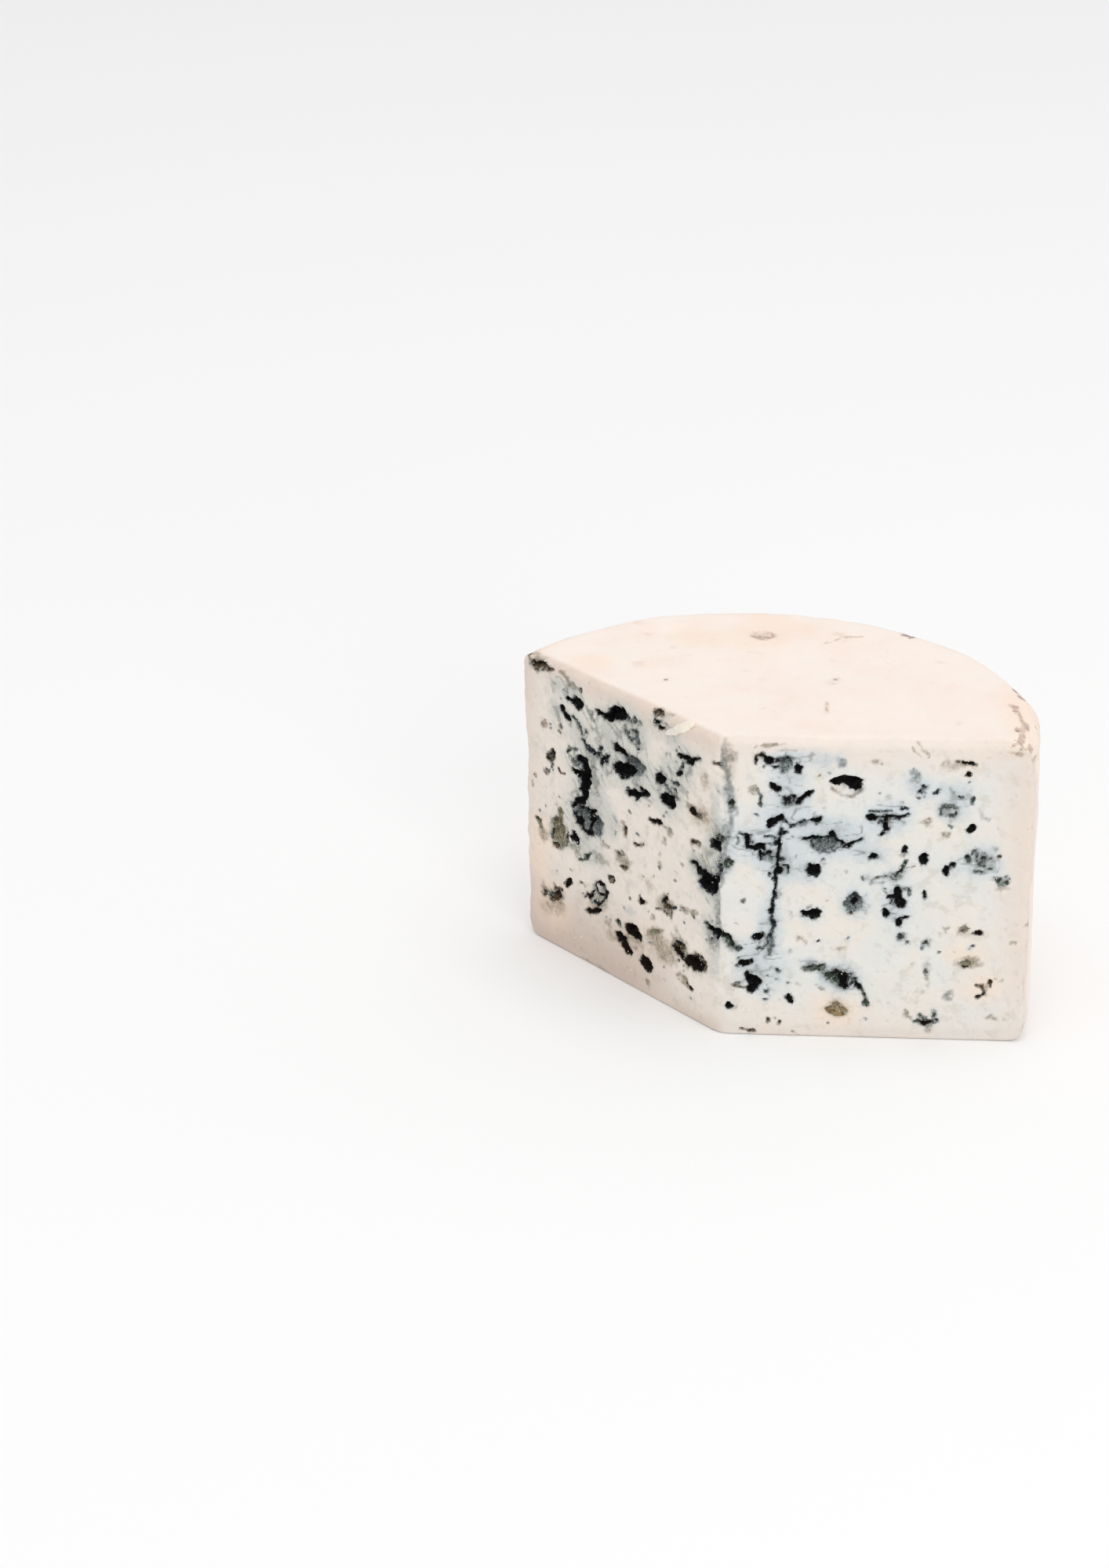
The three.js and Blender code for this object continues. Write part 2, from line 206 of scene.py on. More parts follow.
# Mouths of the pockets in each cut, by kind, in millimetres: distance from the front edge, height above
# the bottom, width, height, and for those that lean their tilt in degrees, anticlockwise from outside.
RIGHT_POCKETS = {
    "cave": [
        (43.2, 96.5, 8.6, 4, -4), (39.8, 96, 6.6, 3.4, 10), (44.8, 95.2, 5.2, 5, 20),
        (42.4, 95.6, 7, 3.2, -8),
    ],
    "hollow": [(42, 92.8, 10.4, 5, 4)],
    "black": [
        (16.4, 103.2, 3.6, 2.2, -35), (25.9, 99.9, 2.8, 3.4), (18.7, 93.4, 5, 2.8, -36),
        (22.4, 89.4, 3.4, 1.8), (24.6, 90.2, 2.6, 1.4), (26.8, 88.8, 3.2, 1.8, 60), (29, 90.8, 6, 1.9, 32),
        (20.2, 82.2, 3.4, 2.8, 35), (17.8, 80.4, 5.6, 2.4, 42), (32.2, 81.7, 4.4, 2.2, 8),
        (37.7, 76.4, 2.4, 3.2), (32.5, 75.2, 9, 1.5, 6), (42.2, 72.4, 3, 1.8, 10), (9.5, 73, 1.7, 5.6),
        (9, 75.4, 4, 1), (13.7, 71, 4.6, 2.6), (11, 70.8, 3, 1.2), (13.9, 68, 1.3, 3.4),
        (16.6, 69, 2.2, 1.2, -10), (20.4, 62.6, 2.2, 3, 20), (31.6, 63.2, 5, 5.4), (32.1, 46.9, 4.6, 4.4),
        (29.8, 47, 4.2, 2.4), (45.2, 51.2, 2.2, 2.4), (50.4, 83.2, 3.8, 2.1, -8),
        (51.6, 68.8, 3.4, 2.2, -5), (55.1, 82.8, 1.7, 3.6), (55.3, 80, 2, 3), (54.2, 77.4, 2.4, 1.6, 20),
        (61.5, 71.8, 1.8, 3.4, 8), (67.9, 68.2, 2.9, 4.6, -12), (77.3, 66.2, 2.8, 1.8, 20),
        (75.9, 63.8, 2.3, 4.6, -5), (83.4, 79.4, 2.2, 3.8, -42), (59.7, 55, 2.6, 6.4),
        (57.9, 54.1, 3.4, 1.6), (60.6, 51.9, 3, 4), (55.9, 48.1, 3.2, 3.6, 12), (60.2, 44.1, 2.8, 4.2),
        (61.8, 46.2, 4.6, 1.2, 12), (68.8, 54.8, 1.4, 3.2), (12.9, 37.3, 3.4, 3.2), (8.2, 27.4, 4.6, 2.4),
        (10.8, 28.2, 1.2, 1.8), (9.3, 23.4, 1.7, 2.6), (11.5, 21.2, 6.2, 4, -5), (11.2, 17.9, 3.4, 4.4),
        (3.6, 10.8, 2.3, 2.1), (24.2, 14.5, 2.2, 3.8, 25), (41.8, 21.6, 3, 5.2, -6), (42.2, 19.6, 2.6, 2.6),
        (47.2, 20.3, 3, 2.2, -20), (23, 63, 1, 3), (21.8, 64.6, 2.4, 1),
    ],
    "pitch": [
        (12.2, 103.1, 1.5, 3.4), (14.1, 104.8, 1.6, 1.8), (82.3, 99.4, 2.4, 1.9), (86.8, 40.9, 3.2, 1.7),
        (82.2, 103.3, 5, 1.3, -12), (82.6, 28.2, 2.3, 1.2), (69.9, 6.4, 4.4, 1.7),
    ],
    "slate": [
        (22.1, 101.8, 5, 4), (35, 73.2, 9.6, 5.4), (34, 71.8, 6, 3.4), (21.6, 99.5, 2.4, 1.4),
        (45, 51.2, 5.4, 6.8), (17.3, 36, 2.2, 6.4),
    ],
    "blue": [
        (22.4, 87.6, 1.7, 1.7), (24, 79.5, 2.2, 1.8, 30), (22.3, 81, 2.2, 1.2, -45), (21.3, 76.7, 3, 2),
        (28.3, 81.2, 1.4, 1.2), (17.4, 67.2, 3, 1.2), (66.5, 92.7, 2.4, 2.2), (67.6, 94.5, 1.8, 1.8),
        (72, 93, 3, 1.2, 40), (17, 61.4, 1.6, 2), (14.6, 33.2, 2.6, 1.4), (58.6, 82.9, 2, 1),
        (80, 90.8, 1.8, 1.2), (53.4, 81.4, 1.4, 2), (61.4, 86.8, 3, 1.2), (19.2, 72.4, 2.2, 2),
        (20.3, 66.6, 1.8, 2.4), (18.7, 59.4, 2, 2), (18.8, 53, 1.8, 2.2), (17.4, 47.4, 1.8, 2),
        (18.3, 42.6, 1.9, 2.6),
    ],
    "green": [
        (42, 22.2, 4.8, 6.4, -12), (38.2, 24.5, 3.4, 2.8), (32.4, 26.7, 7.6, 2.4, 12),
        (45.6, 22.4, 2, 1.4, -30), (49.8, 14, 1.7, 3.2, 10), (4.2, 86.6, 2.2, 3.2), (13.9, 88, 1.2, 4),
        (2.8, 64.6, 3.4, 3.6), (6.4, 33.1, 2.4, 1.8), (4, 34.8, 3, 2, -45), (61, 38.7, 2.4, 1.2),
        (19.9, 25.2, 1.8, 1.8), (70, 26.2, 1.4, 2), (83.6, 90, 1.4, 3, -20), (75, 87.4, 2.6, 1.2),
        (77, 84.1, 2.8, 1.4), (82.8, 68.8, 2.1, 2.8), (88.2, 69, 1.6, 1.6), (87.6, 66.2, 2.4, 1),
        (86.4, 64, 3.6, 1.2, -10), (84.9, 71.4, 2, 1.4), (0.6, 101, 2.2, 1.8), (67.2, 6.8, 2.2, 1.4),
        (1, 73.6, 2.4, 3.4), (2.4, 36.8, 8, 2.8, -42), (39.6, 23.4, 7.4, 5, -22), (62.7, 57.2, 2, 1),
        (63.6, 56, 0.9, 2.6), (69.2, 36.8, 2, 1.4),
    ],
    "crumbly": [
        (16.5, 67.8, 5.6, 4.2), (76.2, 86, 6, 5), (87.4, 68, 6.4, 5.8), (94.2, 60.6, 4.4, 3.4),
        (61.3, 37.6, 3.8, 3.4), (70.4, 6.8, 5.6, 4), (14.6, 34.6, 4.4, 3.4), (57, 82.6, 6, 3),
        (33, 82, 4.4, 2.4), (24, 88.2, 6, 3), (30, 74, 5, 2.4), (8, 74, 4, 6), (58.8, 61.3, 4.4, 2.6, 5),
        (60.2, 63, 3, 2.2, 60),
    ],
    "brown": [
        (81.6, 41.5, 2.2, 1.8), (91.4, 22.2, 1.4, 2.8), (8, 51.2, 1.3, 1.6), (10, 1.9, 5, 1.1, -8),
        (93.4, 69.8, 1.8, 1.5), (20.4, 5.1, 1.2, 1.8), (16.6, 5.9, 1.1, 2.4), (78.6, 103.7, 1.6, 1),
    ],
    # Unmoulded holes, their shade painted tan and olive.
    "tan": [(40, 10.6, 6.8, 4.4), (39.7, 12.4, 3.4, 3.8)],
    "olive": [(82.9, 29.4, 4.4, 2.8), (82.2, 41.8, 3.4, 2.8)],
    "stain": [
        (41.2, 33.9, 4.4, 2), (92, 9, 4.4, 2.2), (76, 102.2, 6, 3), (85, 30.2, 6, 4), (40, 11.4, 8.6, 7),
        (97.4, 107, 6, 1.4, -12), (94, 57.6, 5, 2), (71.4, 3.6, 4, 3), (85.4, 29.6, 5, 3.6),
        (3, 102, 6, 13),
    ],
    "faint": [
        (93.2, 24, 1.2, 1), (96.8, 8, 1.6, 1.4), (26.4, 0.8, 1.5, 1), (27, 20, 1.8, 1.6),
        (82.6, 29.6, 7, 4.6), (81.8, 41.6, 5, 4), (5.6, 10.2, 1.6, 2.6),
    ],
    "dusk": [
        (75.4, 77.4, 2.8, 2.2), (98.4, 37.8, 3.4, 1.4), (36.2, 51.6, 2, 1.5), (42.7, 62.8, 1.8, 1.8),
        (34.4, 18.6, 3, 1.1, -40), (33, 20, 1.2, 1), (95.6, 23.4, 1.1, 1.6), (5.8, 42.6, 2.2, 1.1, -30),
        (11.6, 92.2, 2.6, 2.4), (5.4, 19, 3, 1.1, -15), (103, 44.4, 1.4, 1.4), (34.6, 66.2, 2.6, 1.3, -20),
        (61, 69.4, 1.8, 2), (30.4, 49.6, 2, 1), (70.6, 23.7, 2.4, 2.2), (69.2, 81.6, 4, 3.4),
        (63.8, 9.6, 2.4, 4, 32), (82.2, 103.2, 6, 1.9, -10), (51.6, 103.6, 3, 2, 20),
        (16.2, 108.3, 6, 1.2, 5), (89.6, 19.4, 1.6, 4), (76.2, 42.3, 2.4, 1.8), (27.8, 36.8, 4.2, 2.2, -32),
        (92.4, 8.8, 3.6, 1.8),
    ],
    "gloom": [
        (64.4, 96.8, 2.6, 3, 30), (63.8, 99.8, 3.4, 2.2, -20), (69.4, 36.6, 3.4, 2.6), (41, 103, 3, 4),
        (77.4, 17.2, 2.6, 4, -20), (28.2, 80.4, 3, 1.6, 20), (72.8, 10.6, 1.8, 3, 10),
        (93.2, 60.4, 3, 1.6, -30), (95.6, 61.8, 1.2, 2.6), (92, 61.6, 1.4, 1.6), (62.6, 40, 2, 1),
        (17.6, 36, 1.8, 8), (6, 83.4, 2, 2), (0.8, 103.4, 1.6, 9), (3.2, 91, 1.2, 8),
    ],
    "haze": [
        (20, 67, 6, 9), (22, 86, 12, 8, 10), (78.4, 92.6, 9, 6), (30, 29, 5, 2), (13, 31, 9, 7),
        (14, 72, 12, 10), (23, 96, 9, 6), (35, 79, 16, 5, 5), (16, 24, 12, 10), (22.6, 68, 4, 16),
        (59, 50, 5, 10), (56, 82, 12, 7), (87, 68, 12, 9), (65, 96, 6, 8, 40), (77, 86, 8, 6),
        (42, 76, 14, 7), (17, 43, 6, 16), (2, 70, 6, 20), (45.4, 51, 6, 7), (40, 24, 10, 7),
        (27, 63, 10, 8), (50, 70, 12, 6), (30, 104, 20, 5),
    ],
    "smoke": [
        (4.2, 86.2, 4.4, 5.4), (2.4, 64.8, 5, 6), (1.4, 75, 4, 9), (0.6, 60, 3, 9),
        (3.6, 35.2, 7, 4.4, -40), (41.6, 22.6, 8, 8, -15), (45.3, 51, 5, 7), (58.2, 61.4, 7, 4.4, 10),
        (32.4, 27, 8.6, 3.6, 10), (90.4, 67.4, 4, 6), (65.4, 28.4, 1.8, 2), (68.2, 18.4, 3.4, 2.6),
        (24.2, 46.2, 1.6, 3), (24, 32.4, 1.8, 2.4), (17.6, 26, 1.8, 1.8), (24, 22.6, 1.8, 1.2),
        (76, 86, 5, 4), (56, 90.6, 2, 3), (88.4, 83.4, 2.4, 1.6), (86.6, 85, 1.4, 4, 25),
        (91.4, 72.5, 2.6, 1.4), (61.2, 37.8, 3, 3), (50, 61, 3, 3), (3, 103.6, 6, 3), (37, 24, 6, 5),
        (3, 92, 4, 8), (70.4, 25, 2.6, 9),
    ],
    "peach": [(40, 10, 13, 10), (88, 21, 9, 10), (82, 33, 12, 6)],
}
LEFT_POCKETS = {
    "black": [
        (73.4, 99.4, 5.4, 4.4), (77.6, 99.6, 5.6, 1.7, 4), (53, 101.8, 11, 5, 24), (49.6, 103.2, 4.6, 5),
        (60.2, 99.4, 8.4, 2.6, -2), (82.2, 94.3, 3.2, 3), (79.4, 92.3, 4.6, 2.4, -22),
        (72, 78.4, 8, 3.6, 8), (69.8, 75.6, 5, 8), (73.4, 73.1, 8.6, 2.8, -6), (69.8, 70.6, 6, 6.8, -8),
        (70.4, 66.4, 4.8, 6.4), (72.8, 62.6, 7.6, 3.6, 22), (76.4, 60, 3.6, 2.8, 30),
        (65.8, 60.8, 5.4, 2.2, 24), (69.2, 56.4, 3, 9.6, 4), (74.6, 54.4, 2, 4, -20),
        (50.8, 88.9, 9, 3, -14), (53, 90.1, 4.6, 1.7), (49, 82.4, 11, 5.6, 8), (43, 75.9, 10, 3, 14),
        (38, 77.8, 5.4, 3.4, 10), (42.4, 74.4, 2.6, 1.9), (30, 85.3, 4.8, 4.2), (25.8, 79, 9.2, 5.4),
        (20, 91.1, 3.8, 2.8, 15), (19.4, 97.6, 3.6, 1.6), (14.9, 97.6, 4, 3.2), (12.2, 98.9, 5.2, 1.2, 22),
        (76.2, 47.2, 3.2, 5.4, 24), (2, 70.6, 5.4, 4.2, 8), (5.8, 55.4, 9.4, 7.8),
        (9.6, 58.4, 7.4, 3.4, -22), (13.6, 60.1, 3.2, 1.4, 10), (3.2, 38, 7.6, 2.4, -12),
        (0.6, 37.8, 3.6, 3.4), (32, 106, 3.2, 1.9), (60.6, 81.8, 2, 3.6, -20), (56.4, 99.6, 6, 3.8),
        (17, 97.9, 5, 1.8), (2.6, 57.6, 5, 4),
    ],
    "pitch": [
        (96.8, 107.2, 3, 1.3, 20), (93.4, 108.3, 4.4, 1.2, 14), (44.7, 21.9, 9.6, 5, -12),
        (50.9, 17, 6.6, 5, -20), (47.6, 14, 5.6, 3.4, -25), (37.6, 12.4, 6.4, 5.6), (12.2, 22, 8.4, 5.2, 6),
        (15.4, 21.6, 5, 3.4, -20), (79.9, 28.2, 5, 2.3, 46), (68.5, 27.3, 4, 2.4, 16),
        (66.2, 22, 9.4, 1.8, 21), (68.6, 21.1, 5, 2.6, 10), (41.1, 35.8, 3.8, 2.4, 12),
        (28.4, 40.6, 4.6, 1.3, 42), (32.4, 68.8, 7.2, 2, 4), (14.6, 12.1, 2.6, 1.5, -22),
        (13.4, 79.3, 3.2, 2.3), (59.6, 31.4, 2, 2.8), (65.4, 31.6, 1.5, 3, 20), (29.6, 104.4, 3.6, 1.9, 18),
        (49.4, 15.3, 5.4, 4.2, -30), (62.6, 33.7, 4.4, 1.5, -4), (62.4, 29.8, 4, 1.3, 10),
        (20.8, 23.6, 7, 1.8, -24), (85.2, 20.8, 3, 1.6, 38),
    ],
    "slate": [
        (75, 76.2, 4.6, 2.4), (68.4, 56.8, 15, 10.4), (63.4, 57, 6, 7.6), (73.4, 57.4, 5.4, 4.4),
        (43.4, 86, 11.4, 7), (40.4, 87, 4, 3.6), (42, 83.8, 5, 3), (62.6, 83.2, 6.4, 2.8),
        (25.8, 78.6, 6, 3), (9, 21.8, 3, 2.6), (73, 90.8, 7, 1.6, -50), (47.6, 97, 3.2, 1.8),
        (42.6, 97.2, 2.8, 3), (45.2, 95.4, 3, 1.2, -30),
    ],
    "blue": [
        (22.6, 86.4, 4, 1.3, 5), (67.8, 84, 5.6, 2.8, -15), (58.6, 83.4, 2, 4.4, -25),
        (61.6, 86.2, 3, 1.4, 35), (0, 63, 3, 8), (9, 54.6, 3, 5), (24.8, 82.6, 2, 1.4),
        (45.8, 95.2, 2.8, 1.1, -30), (41.6, 93, 2, 1.1), (46.6, 102.4, 1.4, 2.2),
    ],
    "green": [
        (83, 87.3, 1.6, 2), (88.4, 74.2, 2, 3.6, -35), (53, 22.8, 3.4, 1.9), (70.2, 42, 3.6, 1.6, 28),
        (6.2, 39.7, 3, 1.5, -15), (1, 74.6, 4, 1.6, 35), (43.4, 103.4, 1.6, 2), (45, 98.8, 2.4, 1.1, 20),
    ],
    "crumbly": [
        (94, 107, 10, 3.6, 10), (62.6, 31.6, 6.6, 5.4), (44, 102.8, 8, 3), (23, 82.4, 4.6, 4),
        (30, 106, 6, 3), (0, 57, 5, 12), (3.4, 33.8, 4.6, 3.6, -30),
    ],
    # The first three line the large olive hole's edges with painted shade in dark brown; the other two are
    # dark brown mould.
    "rust": [
        (81, 44.8, 1.6, 5.4, -8), (86.8, 40.4, 4.4, 1.6), (88.6, 44, 1, 4, 8), (49.6, 45, 4.6, 1.3, 8),
        (86, 21.2, 5.8, 3, 38),
    ],
    "brown": [
        (94.4, 107, 8, 3, 12), (88.6, 74.2, 7.2, 3, 52), (86.8, 20.4, 6.6, 4.4, 30),
        (27.4, 38.4, 4.2, 3, 10), (10.8, 78.6, 3.4, 2.2), (31.4, 109.7, 4.4, 2.6), (56.2, 37.9, 4, 2.6),
        (1.6, 100.8, 3.4, 1.8, 15), (73, 30.6, 2.6, 1.1, 15), (63, 26, 1.2, 2.2, -40),
        (71.6, 104.7, 1.6, 2.6, -20), (24.8, 37.2, 1, 4.4), (89.6, 17.9, 4.4, 2, 24),
        (20.6, 25.8, 6.8, 3.6, 6), (9.4, 24, 5.4, 4.4), (96.4, 46.9, 3, 1.2, -28), (51.4, 49.6, 4, 1.6),
        (42, 56.8, 3.4, 1.4, 5), (18.8, 41, 2, 1.1, 10), (12.4, 68, 4.6, 1.4, 14), (48.6, 59.8, 2.4, 2.2),
        (88.6, 107.4, 4.6, 1.6, 8), (11.6, 23, 10.6, 6.6, 4), (93.4, 19.4, 2.4, 2.4),
    ],
    # Unmoulded holes, their shade painted olive-grey.
    "olive": [
        (85.4, 46.6, 7.4, 11.4, 6), (83.6, 53.4, 2.8, 5.4, -8), (84.4, 42.4, 5.4, 5),
        (33.4, 26.4, 6, 1.8, 24), (95.4, 45.2, 3, 1.8, -35),
    ],
    "stain": [
        (36.5, 43, 5, 5), (49.6, 47.4, 8, 6), (86, 16, 10, 6, 20), (28.2, 38.6, 8.6, 6, 10),
        (10.5, 25.4, 6, 3), (64, 26, 12, 6, 20), (56, 16, 8, 4), (30, 21, 15, 10), (28, 19.4, 11, 7),
        (33, 25.4, 9, 6, 20), (93.4, 42, 5, 6), (94, 21, 5, 5), (7, 93, 5, 8), (45, 19, 12, 9, -15),
        (9, 79, 11, 10),
    ],
    "faint": [
        (21.5, 53.4, 3, 1), (29, 9.6, 2.6, 1.6), (44, 16, 2, 1.6), (94, 13, 8, 7), (9, 79, 6, 3),
        (66, 1, 16, 1.2), (62, 43, 7, 4, 20),
    ],
    "dusk": [
        (30.8, 53.1, 1.8, 3.2), (34, 31.7, 2.6, 1.9), (22.5, 31.7, 3.2, 2.6), (37.4, 5, 2.8, 4),
        (92, 67.5, 3, 2), (98.6, 63.5, 2, 1.7), (99.6, 59.6, 1.4, 3), (86.2, 56.8, 2.6, 2.2),
        (58, 49.8, 3, 1.4), (49.6, 62.2, 1.8, 1.6), (28, 63, 2.6, 3), (30, 57.4, 2.2, 1.6),
        (18.6, 57.5, 2.2, 1.6), (71, 30, 2, 1.6), (38.2, 35.6, 2, 1.8), (88, 107.2, 6, 2, 12),
        (92, 86, 3.8, 2.8), (93.4, 19.2, 4, 4), (25, 67.2, 3.4, 2.2, -22), (27.6, 68.4, 3, 1.2, -20),
        (48.7, 59.8, 4, 3.4, -15), (12.4, 68.1, 6, 2.6, 14), (96, 46.9, 5, 1.8, -30), (94, 42.4, 4.4, 5),
        (18.6, 14.2, 6, 3.4, -20), (33.6, 26.4, 8.4, 3, 24), (51.6, 49, 5, 2.8), (47, 48, 2.4, 3.4),
        (12, 80.4, 8, 1.8, -10), (87, 19.6, 10, 6, 30), (78, 105.6, 8, 1.6, -20), (41.6, 56.8, 4.4, 2.6),
        (18, 40.8, 4, 2.6), (12.6, 41.2, 4, 1.8, 18), (76.6, 41.8, 2.6, 4.6), (58.4, 19.8, 5, 3.4),
        (20.4, 26.2, 9.4, 5.4, 8), (95, 45, 3, 2, -30), (82, 107.4, 4, 1.2, -10),
    ],
    "gloom": [
        (79, 102.6, 2, 2.6), (41.4, 93, 3.4, 2), (47.4, 98.4, 2.6, 2), (41, 102.5, 2.4, 2),
        (47, 102.6, 2, 3.4), (66.2, 92.4, 2, 2.8, 30), (63.6, 93.4, 2, 1.8), (0.4, 43, 2.6, 4),
        (3.4, 34, 5, 3, -20), (65.4, 96.8, 4, 2, -40), (77, 77.6, 2.6, 2), (42, 79, 3, 2),
        (1, 61, 4, 4, 20), (64.6, 78, 4, 2, -30), (1.4, 101, 5, 2, 10),
    ],
    "haze": [
        (58, 95, 10, 5, 12), (66, 64, 10, 18), (26, 83, 12, 10), (41, 99, 10, 9), (73, 88, 8, 10),
        (54, 84, 12, 10), (72, 47, 8, 12), (40, 82, 8, 8), (4, 38, 8, 6), (77, 103, 10, 5), (18, 92, 8, 8),
        (85, 103, 6, 5), (66, 77, 7, 10), (2, 60, 8, 30), (64, 43, 10, 5), (2, 28, 7, 12), (24, 103, 10, 6),
        (26, 92, 6, 8), (1.6, 84, 5, 20), (46, 29.6, 5, 2), (54, 91, 12, 8), (55, 60, 6, 10),
        (63, 68, 7, 12), (86, 93, 5, 7),
    ],
    "smoke": [
        (66, 77.6, 3.6, 9), (9, 60, 13, 8, -30), (0.4, 62, 4, 14), (1, 45, 3, 10), (3, 35, 7, 6, -20),
        (44, 86, 11, 6), (51, 48.4, 6, 5), (1, 47.6, 2.4, 6), (64, 29, 6, 5), (28, 39, 8, 6),
        (85, 47, 9, 14, 5), (23.6, 82, 6, 4), (0.6, 75, 5, 6, 30), (26, 110, 5, 1.6, 20),
        (77, 105.4, 7, 2.6, -22), (20, 26.6, 9, 6), (18, 85, 3, 2), (66, 44.4, 5, 3, 20), (28, 106.6, 5, 2),
        (66, 97, 4, 2.4, -45), (62, 90, 3, 6, -50), (61, 49.6, 4, 3), (87, 101.8, 2, 4.6), (64, 72, 2.6, 8),
    ],
    "taupe": [(92, 86, 3.6, 2.6), (91.8, 67.2, 2.6, 1.8), (98.4, 63.6, 1.8, 1.8)],
    "peach": [(90, 14, 16, 10, 10), (93, 42, 8, 10), (96, 30, 8, 12)],
}

# Thin mouldy cracks and the needle's groove: kind, radius, and the route in millimetres on the cut.
RIGHT_CRACKS = [
    ("black", 0.6, [(20.4, 76), (20.2, 73), (19.5, 69), (19.8, 65), (19, 61), (19.1, 57)]),
    ("black", 0.5, [(19.1, 57), (18.5, 54), (17.8, 51.4), (18.1, 48), (17.6, 45)]),
    ("blue", 0.6, [(20.9, 78), (20.3, 75)]),
    ("blue", 0.55, [(17.6, 45), (18, 41), (17.3, 37)]),
    ("slate", 0.7, [(17.3, 37), (17.5, 34), (17, 31)]),
    ("smoke", 0.9, [
        (1.4, 110), (2.2, 101), (3.2, 95), (3.6, 88), (4.2, 80), (2.4, 74), (1.4, 66), (0.6, 56),
    ]),
    ("smoke", 0.35, [(2.2, 102), (3, 96), (3.4, 90), (3.8, 86), (4.1, 79)]),
    ("smoke", 0.8, [(0, 56), (-0.4, 48), (-0.4, 42), (1, 38)]),
    ("green", 0.5, [(62.4, 67.4), (61.2, 65), (60.2, 62.8), (58.8, 61.4)]),
    ("green", 0.3, [(57.6, 61.2), (55, 61.5), (52.4, 61), (51, 59.6)]),
    ("smoke", 0.35, [(55.4, 59.4), (53, 59), (50.2, 58.6)]),
    ("black", 0.45, [(28, 74.2), (30, 75), (33, 75.6), (36.6, 75.8), (39.4, 74.6)]),
    ("black", 0.55, [(39, 74.6), (40.6, 73.8), (42, 72.8), (44.4, 73.6), (47.4, 74.9)]),
    ("blue", 0.3, [(31, 72), (33, 70.4), (36, 69.9), (38.6, 70.8), (40, 72)]),
    ("blue", 0.4, [(21, 82), (22.6, 80.6), (24.4, 79.6), (26.4, 80.4), (29.4, 81.2)]),
    ("black", 0.45, [(52, 83.1), (54, 83.5)]),
    ("black", 0.45, [(55.4, 84), (58, 83.6), (60.4, 83.5), (62.6, 84.7)]),
    ("blue", 0.3, [(50, 85.6), (53, 85.4), (57, 85.8)]),
    ("brown", 0.3, [(11.8, 101.6), (12.2, 104.4), (14, 105.5), (16, 104), (18.2, 102.2)]),
    ("faint", 0.3, [(11.8, 107.4), (13, 108.6), (15.4, 108.1), (19, 108.4), (22, 109)]),
    ("faint", 0.3, [(16.4, 107.2), (21, 106.6), (26, 107)]),
    ("green", 0.3, [(19.4, 103.9), (22, 104.1), (24.8, 103.9)]),
    ("faint", 0.3, [(24.8, 104), (27, 103.8), (26.4, 101.8)]),
    ("faint", 0.3, [(19.4, 100.4), (21.4, 98.6), (24, 97)]),
    ("green", 0.3, [(12, 93.2), (13.2, 91.6), (13.9, 89.6)]),
    ("dusk", 0.45, [(36.7, 94.4), (38, 92.2), (40.6, 90.8), (44, 90.6), (46.2, 91.8), (47.3, 93.8)]),
    ("dusk", 0.35, [(65.4, 109.6), (67.4, 108), (69.4, 105.8)]),
    ("dusk", 0.35, [(63.4, 108.6), (65, 106.8), (66.6, 105.2)]),
    ("faint", 0.25, [(66.4, 107.8), (68, 106.6), (69.2, 105.2)]),
    ("green", 0.4, [(73.4, 84.4), (73.6, 86.4), (75, 87.4), (78.4, 87)]),
    ("brown", 0.6, [(86.7, 21.5), (88.6, 21), (89.6, 19.4), (89, 17.7), (87.2, 16.8)]),
    ("smoke", 0.5, [(63, 11.4), (64.4, 8.6), (65.8, 6.8), (68, 6.4)]),
    ("green", 0.4, [(68, 9.4), (69.4, 7.6), (72.4, 7.4), (73, 10)]),
    ("brown", 0.35, [(5.4, 19.3), (7.6, 18.2), (9.4, 18.2)]),
    ("green", 0.5, [(44, 22.8), (46.4, 21.2), (48.6, 18.6), (49.6, 15.4)]),
    ("green", 0.4, [(-0.6, 40), (1.4, 37), (3.6, 34.8), (6.8, 33.1)]),
    ("blue", 0.3, [(14.4, 39.4), (16, 37.4), (16.6, 34.8), (13, 33)]),
    ("blue", 0.3, [(15.4, 75), (17, 75.6), (18.8, 74.6)]),
]
